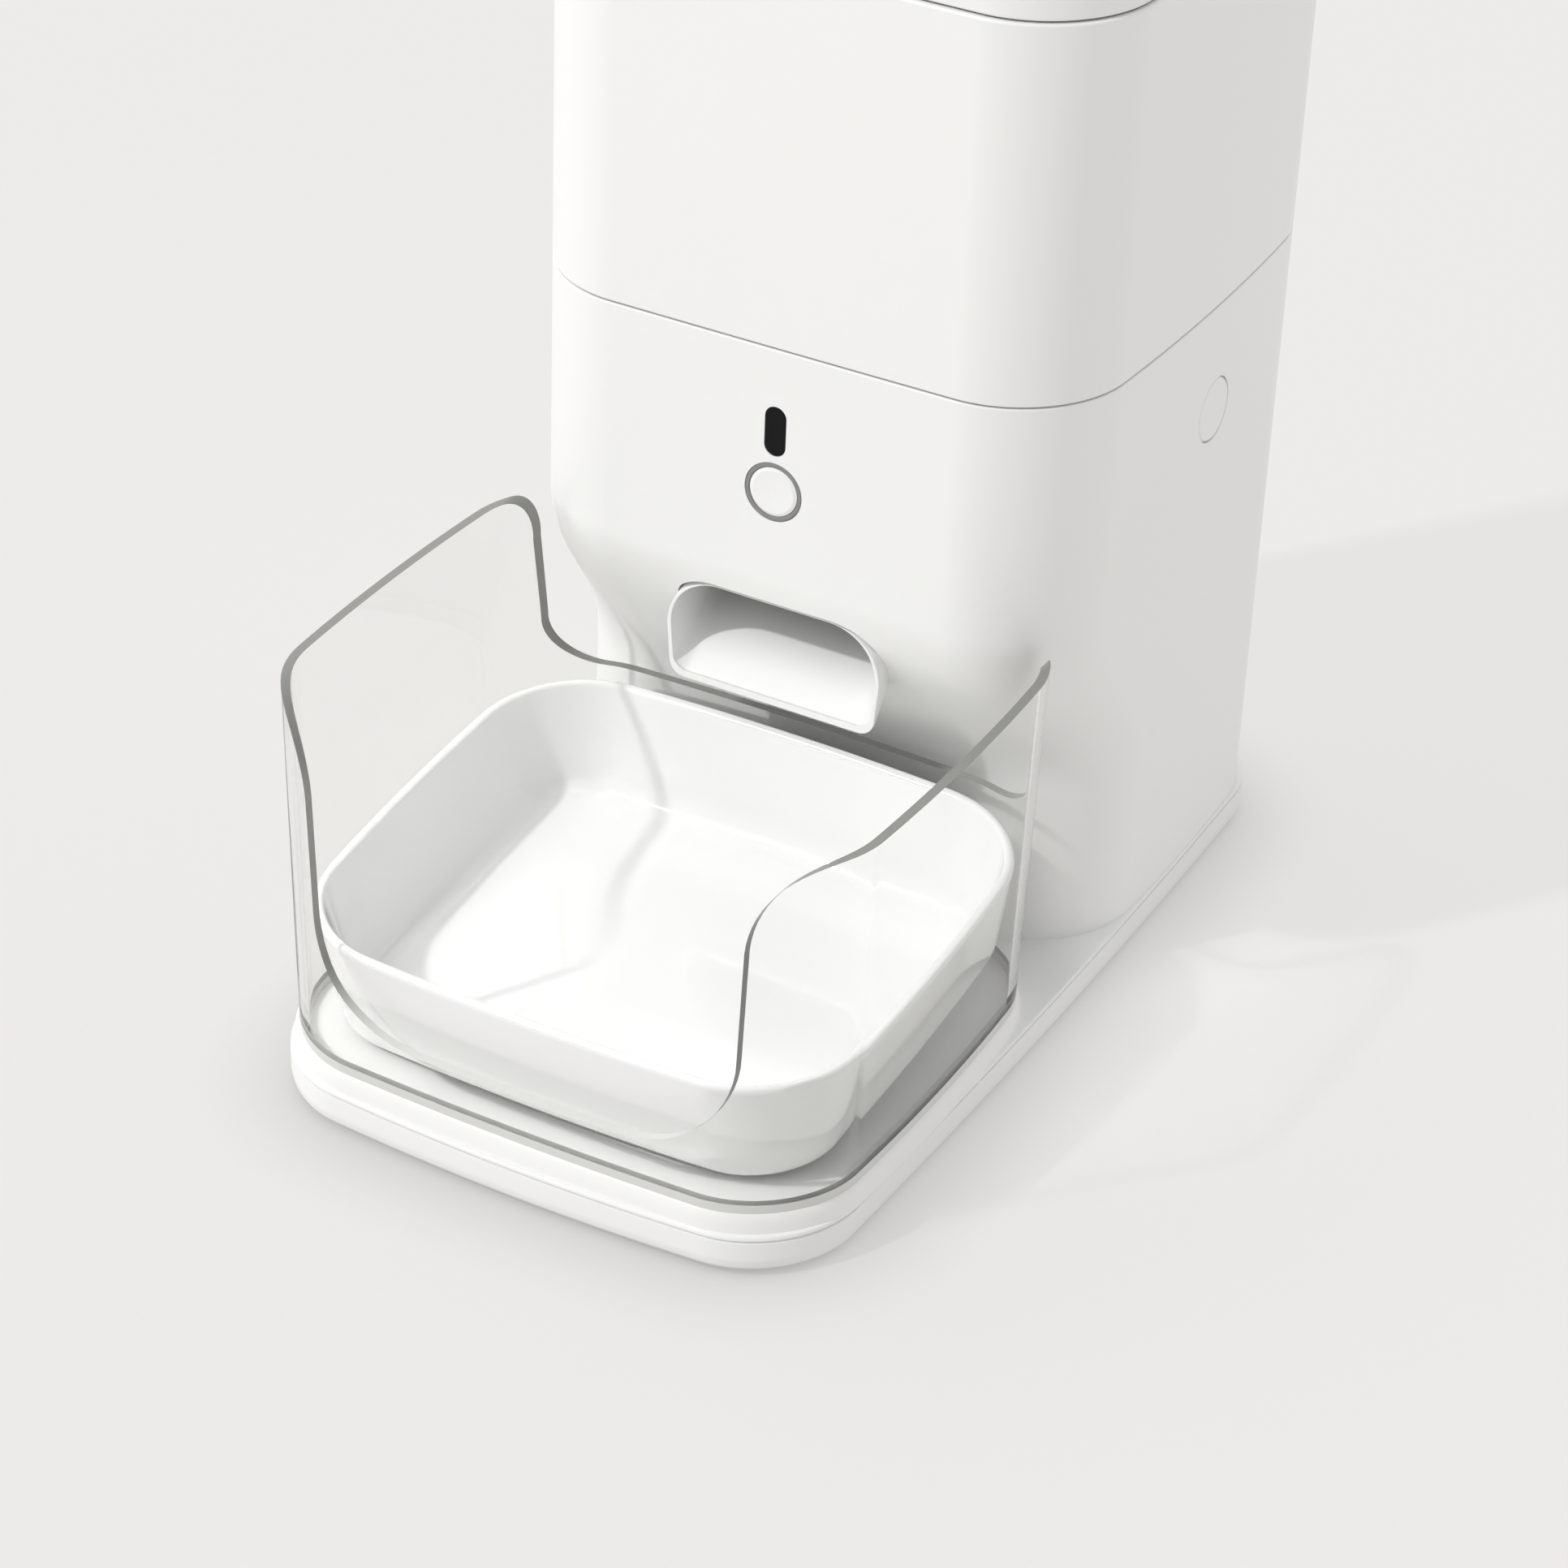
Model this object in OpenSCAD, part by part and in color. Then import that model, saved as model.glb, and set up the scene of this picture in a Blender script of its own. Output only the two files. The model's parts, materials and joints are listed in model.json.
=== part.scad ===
// Automatic pet feeder: a tall food tank over a rounded housing, a food chute at the front,
// and a long base that carries a tilted bowl inside a clear splash guard.
// Frame: origin at the centre of the footprint on the floor, +Z up, the chute faces -Y.

/* [Base] */
// Width of the base
base_w = 193; // [161:1:232]
// Length of the base, front to back
base_d = 330; // [275:1:396]
// Corner radius of the base
base_r = 32; // [24:1:44]
// Top of the rubber feet, where the bottom cover starts
foot_h = 1.5; // [1:0.25:3]
// Height of the seam between bottom cover and top plate
base_seam_h = 12.4; // [10:0.2:16]
// Thickness of the deck above that seam
deck_t = 2.1; // [1.6:0.1:4]
// Height of the raised platform above the deck
platform_h = 6; // [5:0.5:9]

/* [Body] */
// How far the housing and the tank stand in from the base, each side
body_inset = 1.5; // [0:0.5:8]
// Depth of the housing and the tank
body_d = 184; // [176:1:204]
// Corner radius of the housing and the tank
body_r = 35; // [26:1:44]
// How far the lower front is set back
undercut = 33; // [24:1:36]
// Height where the set-back starts, above the deck
undercut_low = 57; // [48:1:62]
// Height of the curve that joins the two fronts
undercut_rise = 66; // [56:1:70]
// Height of the seam between housing and tank
tank_seam_h = 214; // [208:1:230]
// Wall of the housing and the tank
shell_t = 2.5; // [2:0.1:3]

/* [Tank and lid] */
// Height of the tank above its seam
tank_h = 115.4; // [96:0.2:150]
// Height of the lid above the tank
lid_h = 21; // [17:0.5:26]
// Outlet radius of the tank's funnel
neck_r = 41.5; // [36:0.5:42]
// Height of the sloping funnel
funnel_h = 40; // [34:1:46]

/* [Guard and bowl] */
// Wall of the clear guard
guard_t = 3; // [2:0.2:3.4]
// Height of the guard's sides above the platform
guard_h = 117; // [105:1:130]
// Height of the guard's low front
guard_front_h = 16.5; // [12:0.5:22]
// Height of the guard's low back
guard_back_h = 56.5; // [48:0.5:58]
// How much the guard widens to its top, each side
guard_flare = 3; // [1:0.25:4]
// Height of the bowl from foot to rim
bowl_h = 40; // [34:1:42]
// Wall of the bowl
bowl_t = 3.6; // [3:0.2:5]
// Forward tilt of the bowl
bowl_tilt = 5.8; // [4:0.2:6]

/* [Chute and buttons] */
// Half width of the chute's mouth
mouth_half = 36.5; // [32:0.5:40]
// Height of the chute's mouth
mouth_h = 35; // [30:1:37]
// Wall of the chute
chute_t = 2; // [1.6:0.1:2.6]
// Radius of the front button
button_r = 7.9; // [6.6:0.1:8.2]
// Travel of the front button
button_travel = 1.2; // [0.8:0.1:1.2]
// Radius of the two side release buttons
release_r = 10.2; // [8.5:0.1:10.6]
// Travel of a release button
release_travel = 3; // [2:0.25:3]

/* [Mechanism] */
// Inner radius of the portion chamber
chamber_r = 50.5; // [42:0.5:51]
// Number of paddles on the rotor
paddles = 6; // [4:1:8]
// Gear module
gear_m = 1; // [0.8:0.05:1]
// Teeth of the rotor gear
rotor_teeth = 36; // [34:1:38]
// Teeth of the idler gear
idler_teeth = 28; // [24:2:28]
// Teeth of the motor pinion
pinion_teeth = 14; // [13:1:16]
// Running clearance of the shafts
run_gap = 0.05; // [0.02:0.01:0.09]

/* [Hidden] */

white = [0.94, 0.94, 0.93];
shade = [0.72, 0.72, 0.70];
clear = [0.85, 0.90, 0.92, 0.35];
glaze = [0.97, 0.97, 0.96];
steel = [0.70, 0.71, 0.73];
rubber = [0.30, 0.30, 0.31];
acetal = [0.90, 0.88, 0.82];
green = [0.10, 0.35, 0.22];
black = [0.04, 0.04, 0.05];

eps = 0.01;
gap = 0.3;          // between separate bodies
seat_gap = 0.1;     // round a piece set into another
seam_gap = 0.6;     // shadow line between two shells
through = 1;        // how far a cut runs past the piece it cuts
corner_steps = 10;
side_steps = 8;
thread_r = 1.25;
thread_gap = 0.05;
press_gap = 0.02;   // round a shaft in the piece it turns
screw_head_r = 2.9;
screw_head_h = 1.4;
$fn = 64;

// ---- heights and places that several pieces share ----
deck_z = base_seam_h + deck_t;
platform_z = deck_z + platform_h;
base_front = -base_d / 2;
base_back = base_d / 2;
body_w = base_w - 2 * body_inset;
body_back = base_back - 1;
body_front = body_back - body_d;
foot_front = body_front + undercut;
body_mid = (body_front + body_back) / 2;
housing_top = tank_seam_h - seam_gap / 2;
tank_z = tank_seam_h + seam_gap / 2;
tank_top = tank_z + tank_h;
lid_z = tank_top + seam_gap;
button_z = tank_seam_h - 46.5;
window_z = tank_seam_h - 26.5;
release_y = body_mid + 8;
release_z = tank_seam_h - 36;
seat_z = tank_seam_h - 28;
chamber_y = body_mid - 2;
chamber_z = tank_seam_h - 64;

// Bows of the flat sides, measured at the corners
base_bow = [3.5, 6, 1];
body_bow = [4.7, 0.5, 0.5];
guard_bow = [3.9, 3.6, 3.6];
bowl_bow = [3.3, 4.2, 4.2];

// ---- outlines ----
// A closed outline: a rounded rectangle whose sides bow outwards.
// box = [half width, front y, back y, corner radius], full = the box that sets the bow.
function corner(cx, cy, r, start) =
    [for (i = [0:corner_steps]) [cx + r * cos(start + 90 * i / corner_steps),
                                 cy + r * sin(start + 90 * i / corner_steps)]];
function between(p, q) = [for (i = [1:side_steps - 1]) p + (q - p) * i / side_steps];
function bowed(p, full, bow) =
    let (mid = (full[1] + full[2]) / 2,
         half = (full[2] - full[1]) / 2,
         v = (p.y - mid) / half,
         u = p.x / full[0])
    [p.x - sign(p.x) * bow[0] * v * v * abs(u),
     p.y + bow[1] * u * u * max(0, -v) - bow[2] * u * u * max(0, v)];
function raw_outline(b) =
    let (x = b[0] - b[3],
         low = b[1] + b[3],
         high = b[2] - b[3],
         c1 = corner(x, low, b[3], -90),
         c2 = corner(x, high, b[3], 0),
         c3 = corner(-x, high, b[3], 90),
         c4 = corner(-x, low, b[3], 180),
         n = corner_steps)
    concat(c1, between(c1[n], c2[0]), c2, between(c2[n], c3[0]),
           c3, between(c3[n], c4[0]), c4, between(c4[n], c1[0]));
function inset(b, t) = [b[0] - t, b[1] + t, b[2] - t, max(b[3] - t, 1)];
function outline(b, full, bow) = [for (p = raw_outline(b)) bowed(p, full, bow)];
function both_sides(places) = [for (p = places) for (s = [1, -1]) [s * p.x, p.y]];
function at_height(pts, z) = [for (p = pts) [p.x, p.y, z]];
function circle_like(pts, c, r) = [for (p = pts) c + r * (p - c) / norm(p - c)];

base_box = [base_w / 2, base_front, base_back, base_r];
body_box = [body_w / 2, body_front, body_back, body_r];
function base_plan(t) = outline(inset(base_box, t), base_box, base_bow);
function body_plan(t) = outline(inset(body_box, t), body_box, body_bow);

// A closed solid through rings that all have the same number of points
module loft(rings) {
    n = len(rings[0]);
    m = len(rings);
    points = [for (r = rings) for (p = r) p];
    bottom = [[for (i = [0:n - 1]) i]];
    top = [[for (i = [n - 1:-1:0]) (m - 1) * n + i]];
    sides = [for (k = [0:m - 2]) for (i = [0:n - 1])
             [k * n + i, (k + 1) * n + i, (k + 1) * n + (i + 1) % n, k * n + (i + 1) % n]];
    polyhedron(points, concat(bottom, top, sides), convexity = 8);
}

// A straight wall that follows a plan
module plan_prism(pts, z0, z1) {
    translate([0, 0, z0]) linear_extrude(z1 - z0) polygon(pts);
}
module plan_ring(outer, inner, z0, z1) {
    difference() {
        plan_prism(outer, z0, z1);
        plan_prism(inner, z0 - 1, z1 + 1);
    }
}

// ---- small hardware ----
// A screw that points up: its head's underside is at z = 0 and the head is below
module screw(len) {
    difference() {
        union() {
            translate([0, 0, -eps]) cylinder(r = thread_r, h = len + eps);
            translate([0, 0, -screw_head_h]) cylinder(r = screw_head_r, h = screw_head_h);
        }
        for (a = [0, 90]) {
            rotate([0, 0, a]) translate([-1.6, -0.35, -screw_head_h - 1]) cube([3.2, 0.7, 1.8]);
        }
    }
}

// A coil spring along +Z as one swept tube
module coil_spring(r, wire_r, len, turns) {
    ring_n = 6;
    steps = turns * 14;
    pitch = (len - 2 * wire_r) / turns;
    function point(i, j) =
        let (a = 360 * turns * i / steps,
             b = 360 * j / ring_n)
        [(r + wire_r * cos(b)) * cos(a), (r + wire_r * cos(b)) * sin(a),
         wire_r + pitch * turns * i / steps + wire_r * sin(b)];
    points = [for (i = [0:steps]) for (j = [0:ring_n - 1]) point(i, j)];
    sides = [for (i = [0:steps - 1]) for (j = [0:ring_n - 1])
             [i * ring_n + j, i * ring_n + (j + 1) % ring_n,
              (i + 1) * ring_n + (j + 1) % ring_n, (i + 1) * ring_n + j]];
    start = [[for (j = [ring_n - 1:-1:0]) j]];
    end = [[for (j = [0:ring_n - 1]) steps * ring_n + j]];
    polyhedron(points, concat(start, end, sides), convexity = 12);
}

// Outline of an involute spur gear, a tooth centred on +X
pressure = 20;
backlash = 0.10;
function involute(a) = tan(a) * 180 / PI - a;
function tooth_half(r, teeth) =
    let (pitch_r = gear_m * teeth / 2,
         base = pitch_r * cos(pressure),
         a = acos(min(1, base / max(r, base))))
    90 / teeth - backlash / 2 / pitch_r * 180 / PI + involute(pressure) - involute(a);
function gear_points(teeth) =
    let (pitch_r = gear_m * teeth / 2,
         root = pitch_r - 1.25 * gear_m,
         tip = pitch_r + 0.95 * gear_m,
         low = max(root + 0.05, pitch_r * cos(pressure)),
         radii = [root, low, (low + pitch_r) / 2, pitch_r, (pitch_r + tip) / 2, tip])
    [for (t = [0:teeth - 1]) for (k = [0:2 * len(radii) - 1])
        let (up = k < len(radii),
             r = up ? radii[k] : radii[2 * len(radii) - 1 - k],
             a = tooth_half(r, teeth))
        [r * cos(360 * t / teeth + (up ? -a : a)), r * sin(360 * t / teeth + (up ? -a : a))]];
module spur_gear(teeth, thick, bore_r, hub_r, hub_h) {
    difference() {
        union() {
            linear_extrude(thick) polygon(gear_points(teeth));
            cylinder(r = hub_r, h = thick + hub_h);
        }
        translate([0, 0, -1]) cylinder(r = bore_r, h = thick + hub_h + 2);
    }
}

// ---- base ----
cover_wall = 2.5;
cover_floor = 2.5;
base_screw_xy = both_sides([[base_w / 2 - 24.5, base_front + 37],
                            [base_w / 2 - 16.5, foot_front - 23],
                            [base_w / 2 - 30.5, base_back - 25]]);
foot_xy = both_sides([[base_w / 2 - 26.5, base_front + 23],
                      [base_w / 2 - 12.5, base_back - 135],
                      [base_w / 2 - 44.5, base_back - 15]]);
foot_r = 8;
foot_seat = 1;      // how deep a foot is set into the cover
boss_r = 4.2;
boss_top = base_seam_h - 3;
screw_seat = foot_h + screw_head_h + 0.2;
module at_each(places, z) {
    for (p = places) translate([p.x, p.y, z]) children();
}

module base_bottom_cover() {
    floor_top = foot_h + cover_floor;
    color(white) difference() {
        union() {
            difference() {
                loft([at_height(base_plan(3), foot_h),
                      at_height(base_plan(1.2), foot_h + 1.2),
                      at_height(base_plan(0.3), foot_h + 3),
                      at_height(base_plan(0), foot_h + 5),
                      at_height(base_plan(0), base_seam_h)]);
                plan_prism(base_plan(3 + cover_wall), floor_top, base_seam_h + 1);
            }
            at_each(base_screw_xy, floor_top - eps) cylinder(r = boss_r, h = boss_top - floor_top);
        }
        at_each(base_screw_xy, 0) {
            cylinder(r = thread_r + 0.3, h = base_seam_h);
            cylinder(r = screw_head_r + 0.3, h = screw_seat);
        }
        at_each(foot_xy, 0) cylinder(r = foot_r + seat_gap, h = foot_h + foot_seat);
    }
}

// The platform's outline follows the guard
guard_r = 33;
guard_box = [base_w / 2 - 2.3, base_front + 3.8, foot_front - 9, guard_r];
function guard_plan(t, grow = 0) =
    outline(inset(guard_box, t - grow), guard_box, guard_bow);
platform_t = 2.5;

module bowl_place() {
    translate([0, bowl_y, bowl_z]) rotate([bowl_tilt, 0, 0]) children();
}
module base_top_plate() {
    color(white) difference() {
        union() {
            // seam groove, deck and its rounded edge
            plan_prism(base_plan(0.6), base_seam_h, base_seam_h + seam_gap + eps);
            loft([at_height(base_plan(0.1), base_seam_h + seam_gap),
                  at_height(base_plan(0.1), deck_z - 0.8),
                  at_height(base_plan(0.9), deck_z)]);
            // platform with a soft shoulder
            loft([at_height(guard_plan(0, 1.9), deck_z - 1),
                  at_height(guard_plan(0, 1.8), deck_z + 0.4 * platform_h),
                  at_height(guard_plan(0, 1.2), deck_z + 0.8 * platform_h),
                  at_height(guard_plan(0, 0.2), platform_z)]);
            // sloping seat under the bowl
            intersection() {
                translate([-seat_half_x, bowl_y - seat_half_y, platform_z - 1])
                    cube([2 * seat_half_x, 2 * seat_half_y, bowl_h]);
                bowl_place() translate([-body_w, -body_w, -body_w - seat_pad_t])
                    cube([2 * body_w, 2 * body_w, body_w]);
            }
            at_each(base_screw_xy, boss_top) cylinder(r = boss_r, h = base_seam_h - boss_top + 1);
        }
        // hollow under the platform
        plan_prism(guard_plan(platform_t + 3), base_seam_h - eps, platform_z - platform_t);
        at_each(base_screw_xy, boss_top - through)
            cylinder(r = thread_r + thread_gap, h = deck_z - boss_top);
    }
    // posts that reach the screws under the hollow platform
    color(white) at_each([for (p = base_screw_xy) if (p.y < foot_front) p], boss_top) difference() {
        cylinder(r = boss_r, h = platform_z - boss_top - 1);
        translate([0, 0, -through]) cylinder(r = thread_r + thread_gap, h = deck_z - boss_top + 0.9);
    }
}

module rubber_feet() {
    color(rubber) at_each(foot_xy, 0) rotate_extrude()
        polygon([[0, 0], [foot_r - 0.8, 0], [foot_r, 0.8], [foot_r, foot_h + foot_seat],
                 [0, foot_h + foot_seat]]);
}

module base_screws() {
    color(steel) at_each(base_screw_xy, screw_seat) screw(base_seam_h - foot_h - 1);
}

// ---- bowl and guard ----
bowl_y = (guard_box[1] + guard_box[2]) / 2 - 1.4 + bowl_h * sin(bowl_tilt);
bowl_half_x = guard_box[0] - guard_t + 0.1;
bowl_half_y = (guard_box[2] - guard_box[1]) / 2 - 4.6;
seat_half_x = 58;
seat_half_y = bowl_half_y - 30;
seat_pad_t = 1.5;
bowl_z = platform_z + 0.6 + tan(bowl_tilt) * (seat_half_y + 10);
bowl_box = [bowl_half_x, -bowl_half_y, bowl_half_y, guard_r];
// A bowl outline, set in by t at the sides and by ends * t at the front and back
function bowl_ring(t, z, ends = 1) =
    at_height(outline([bowl_half_x - t, ends * t - bowl_half_y, bowl_half_y - ends * t,
                       bowl_box[3] - min(t, 16)], bowl_box, bowl_bow), z);

module bowl_seat_pad() {
    half_x = seat_half_x - 3;
    half_y = seat_half_y - 6;
    color(rubber) bowl_place() translate([-half_x, -half_y, -seat_pad_t])
        cube([2 * half_x, 2 * half_y, seat_pad_t]);
}

module food_bowl() {
    floor_t = 5;
    color(glaze) bowl_place() loft([
        bowl_ring(21, 0),
        bowl_ring(20, 2.2),
        bowl_ring(9.5, 2.6, 0.75),
        bowl_ring(7.6, 3.8, 0.65),
        bowl_ring(6.8, 6.5, 0.6),
        bowl_ring(0.3, bowl_h - 2),
        bowl_ring(0.4, bowl_h - 0.7),
        bowl_ring(1.2, bowl_h),
        bowl_ring(bowl_t - 1, bowl_h),
        bowl_ring(bowl_t, bowl_h - 1),
        bowl_ring(bowl_t + 6.5, floor_t + 11),
        bowl_ring(bowl_t + 9, floor_t + 5),
        bowl_ring(bowl_t + 14, floor_t + 1.3),
        bowl_ring(bowl_t + 20, floor_t)]);
}

// Half of the guard's front and back edge, seen from the front, heights from the platform.
// Each edge is low in the middle, turns up through one arc and leans out into the side's top.
function edge_half(low_h, flat_x, turn, lean_x, top_x, top_h, top_r) =
    concat([[0, low_h]],
           [for (a = [0:9:90]) [flat_x + turn[0] * sin(a), low_h + turn[1] * (1 - cos(a))]],
           [for (a = [0:9:90]) [top_x - (top_x - lean_x) * cos(a), top_h - top_r * (1 - sin(a))]],
           [[top_x, top_h + 20], [0, top_h + 20]]);
front_edge = edge_half(guard_front_h, guard_box[0] - 61, [37, 37], guard_box[0] - 22.7,
                       guard_box[0] - 1.2, guard_h + eps, 30);
back_edge = edge_half(guard_back_h, guard_box[0] - 27, [17, 18], guard_box[0] - 8,
                      guard_box[0] - 2.2, guard_h + eps, 15.5);

module guard_cutter(half_edge, y0, y1) {
    for (side = [0, 1]) {
        mirror([side, 0, 0]) translate([0, y1, platform_z]) rotate([90, 0, 0])
            linear_extrude(y1 - y0) polygon(half_edge);
    }
}
module splash_guard() {
    steps = [0, guard_h];
    color(clear) difference() {
        loft([for (h = steps) at_height(guard_plan(0, guard_flare * h / guard_h), platform_z + h)]);
        loft([for (h = [-1, guard_h + 1])
              at_height(guard_plan(guard_t, guard_flare * h / guard_h), platform_z + h)]);
        guard_cutter(front_edge, guard_box[1] - 10, guard_box[1] + 55);
        guard_cutter(back_edge, guard_box[2] - 45, guard_box[2] + 10);
    }
}

// ---- lower housing ----
undercut_z0 = deck_z + undercut_low;
function smooth(t) = t * t * (3 - 2 * t);
function front_at(z) =
    foot_front - undercut * smooth(min(1, max(0, (z - undercut_z0) / undercut_rise)));
function housing_ring(t, z, zf) =
    at_height(outline(inset([body_box[0], front_at(zf), body_box[2], body_box[3]], t),
                      body_box, body_bow), z);
housing_levels = concat([deck_z], [for (i = [0:9]) undercut_z0 + undercut_rise * i / 9],
                        [housing_top]);

// The chute's mouth, seen from the front: full round shoulders and a tight lower edge
mouth_z = undercut_z0 + 21.5;
mouth_y = body_front + 3;
shoulder_r = 17;
lower_r = 5.5;
module mouth_shape(t) {
    offset(delta = -t) hull() {
        for (s = [-1, 1]) {
            translate([s * (mouth_half - shoulder_r), mouth_h - shoulder_r]) circle(r = shoulder_r);
            translate([s * (mouth_half - 1 - lower_r), lower_r]) circle(r = lower_r, $fn = 32);
        }
    }
}
// The chute as a solid, shrunk by t (or grown, for the opening it passes through)
module chute_body(t, reach) {
    hull() {
        translate([0, mouth_y + 1 + max(0, reach - 1), mouth_z]) rotate([90, 0, 0])
            linear_extrude(1 + 2 * max(0, reach - 1) + (t > 0 ? 1 : 0)) mouth_shape(t);
        translate([-chute_half + t, chute_in_y + t, chamber_z - 1])
            cube([2 * (chute_half - t), chute_in_d - 2 * t, 1 + (t > 0 ? 1 : 0)]);
    }
}
chute_half = 27;
chute_in_y = chamber_y - chamber_r + 2.5;
chute_in_d = 26;

ring_t = 1.3;
button_hole_r = button_r + gap + ring_t;
window_half = 3.5;
window_h = 16;
release_hole_r = release_r + gap;
post_xy = [[11, -12], [-11, -12], [11, 27], [-11, 27]];
board_y = body_front + 15.5;
board_half = 15;
board_t = 1.6;

module pill(r, h, d) {
    hull() for (s = [-1, 1]) {
        translate([0, 0, s * (h / 2 - r)]) rotate([90, 0, 0]) cylinder(r = r, h = d, $fn = 32);
    }
}
module lower_housing() {
    color(white) difference() {
        union() {
            difference() {
                loft([for (z = housing_levels) housing_ring(0, z, z)]);
                loft(concat([housing_ring(shell_t, deck_z - through, deck_z)],
                            [for (z = housing_levels) housing_ring(shell_t, z, z)],
                            [housing_ring(shell_t, housing_top + through, housing_top)]));
            }
            // posts for the button board
            for (p = post_xy) {
                translate([p.x, board_y, button_z + p.y]) rotate([90, 0, 0])
                    cylinder(r = 2.4, h = board_y - body_front - 1, $fn = 32);
            }
        }
        // chute opening
        chute_body(-0.25, 1);
        // button, light ring and window
        translate([0, body_front + shell_t + 0.5, button_z]) rotate([90, 0, 0])
            cylinder(r = button_hole_r + seat_gap, h = 8);
        translate([0, body_front + shell_t + 0.5, window_z])
            pill(window_half + seat_gap, window_h + 2 * seat_gap, 8);
        // release buttons
        for (s = [-1, 1]) {
            translate([s * body_w / 2, release_y, release_z]) rotate([0, 90, 0])
                cylinder(r = release_hole_r, h = 20, center = true);
        }
        // rear cover and battery door
        translate([-rear_half - seat_gap, body_back - 8, rear_z0 - seat_gap])
            cube([2 * (rear_half + seat_gap), 20, rear_z1 - rear_z0 + 2 * seat_gap]);
        translate([-door_half - gap, body_back - 8, door_z0 - gap - hinge_r])
            cube([2 * (door_half + gap), 20, door_z1 - door_z0 + 2 * gap + hinge_r]);
    }
}

rear_half = 54;
rear_z0 = deck_z + 50;
rear_z1 = tank_seam_h - 34;
rear_flange = 4;
rear_screw_xz = [[rear_half - 6, rear_z0 + 6], [-rear_half + 6, rear_z0 + 6],
                 [rear_half - 6, rear_z1 - 6], [-rear_half + 6, rear_z1 - 6]];
socket_x = -40;
socket_z = rear_z0 + 14;
module rear_cover() {
    inner_y = body_back - shell_t - 0.6;
    color(white) difference() {
        union() {
            translate([-rear_half, inner_y - 2, rear_z0])
                cube([2 * rear_half, body_back - inner_y + 1.5, rear_z1 - rear_z0]);
            translate([-rear_half - rear_flange, inner_y - 2, rear_z0 - 3])
                cube([2 * (rear_half + rear_flange), 2, rear_z1 - rear_z0 + 6]);
        }
        for (p = rear_screw_xz) {
            translate([p.x, body_back + 1, p.y]) rotate([90, 0, 0]) {
                cylinder(r = thread_r + 0.2, h = 20);
                cylinder(r = screw_head_r + 0.2, h = screw_head_h + 2);
            }
        }
        translate([socket_x, body_back + 1, socket_z]) rotate([90, 0, 0]) cylinder(r = 5, h = 20);
        // cooling slots
        for (i = [0:5]) {
            translate([-25 + 10 * i - 1, body_back - 10, rear_z1 - 32]) cube([2, 20, 18]);
        }
    }
}
module rear_cover_screws() {
    color(steel) for (p = rear_screw_xz) {
        translate([p.x, body_back - screw_head_h - 0.8, p.y]) rotate([90, 0, 0]) screw(6);
    }
}

module food_chute() {
    color(white) difference() {
        chute_body(0, 0);
        chute_body(chute_t, 1);
    }
}

// ---- front button, light ring and sensors ----
module front_button() {
    color(white) translate([0, body_front, button_z]) rotate([-90, 0, 0]) {
        rotate_extrude() polygon([[0, -0.2], [button_r - 0.8, -0.2], [button_r, 0.4], [button_r, 3.2],
                                  [2.5, 3.2], [2.5, 10.4], [0, 10.4]]);
    }
}
module light_ring() {
    in_r = button_r + gap;
    color(shade) translate([0, body_front, button_z]) rotate([-90, 0, 0])
        rotate_extrude() polygon([[in_r, 0], [in_r + ring_t, 0], [in_r + ring_t, shell_t + 0.1],
                                  [in_r + ring_t + 1.5, shell_t + 0.1], [in_r + ring_t + 1.5, shell_t + 1.6],
                                  [in_r, shell_t + 1.6]]);
}
module front_button_spring() {
    color(steel) translate([0, body_front + 3.2 + button_travel + 0.3, button_z]) rotate([-90, 0, 0])
        coil_spring(3.6, 0.3, 6.8, 3);
}
module sensor_window() {
    color(black) translate([0, body_front + shell_t, window_z]) pill(window_half, window_h, shell_t);
}
module button_board() {
    color(green) difference() {
        translate([-board_half, board_y, button_z - 16]) cube([2 * board_half, board_t, 47]);
        for (p = post_xy) {
            translate([p.x, board_y + 3, button_z + p.y]) rotate([90, 0, 0]) cylinder(r = 1, h = 6, $fn = 24);
        }
    }
}
module button_switch() {
    color(black) translate([0, board_y, button_z]) rotate([90, 0, 0]) {
        translate([-3, -3, 0]) cube([6, 6, 3.2]);
        cylinder(r = 1.7, h = board_y - body_front - 10.4 - button_travel - 0.2);
    }
}
module proximity_sensors() {
    color(black) for (s = [-1, 1]) {
        translate([0, board_y, window_z + 4 * s]) rotate([90, 0, 0]) cylinder(r = 2.4, h = 11.5, $fn = 32);
    }
}

// ---- tank release buttons ----
skirt_gap = 0.5;
skirt_t = 2;
cap_x = body_w / 2 - 0.1;
cap_t = 3;
stem_r = 4;
stem_len = 24;
guide_x = body_w / 2 - 19;
guide_t = 1.6;
tongue_w = 8;
tongue_t = 3;
nose_x = cap_x - 10;
nose_end = body_w / 2 - shell_t - skirt_gap - skirt_t - 0.6;
module release_button() {
    color(white) {
        translate([cap_x, release_y, release_z]) rotate([0, -90, 0])
            rotate_extrude() polygon([[0, 0], [release_r - 0.6, 0], [release_r, 0.6], [release_r, cap_t],
                                      [stem_r, cap_t], [stem_r, stem_len], [0, stem_len]]);
        // tongue that rises beside the tank's skirt and ends in a nose
        translate([cap_x - stem_len, release_y - tongue_w / 2, release_z - tongue_w / 2])
            cube([tongue_t, tongue_w, stem_len]);
        translate([cap_x - stem_len, release_y - tongue_w / 2, release_z + 17])
            cube([15, tongue_w, tongue_t]);
        translate([cap_x - 12, release_y - tongue_w / 2, release_z + 17])
            cube([tongue_t, tongue_w, 12]);
        translate([nose_x, release_y - tongue_w / 2, release_z + 25])
            cube([nose_end - nose_x, tongue_w, 4]);
    }
}
module release_button_right() {
    release_button();
}
module release_button_left() {
    mirror([1, 0, 0]) release_button();
}
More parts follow.
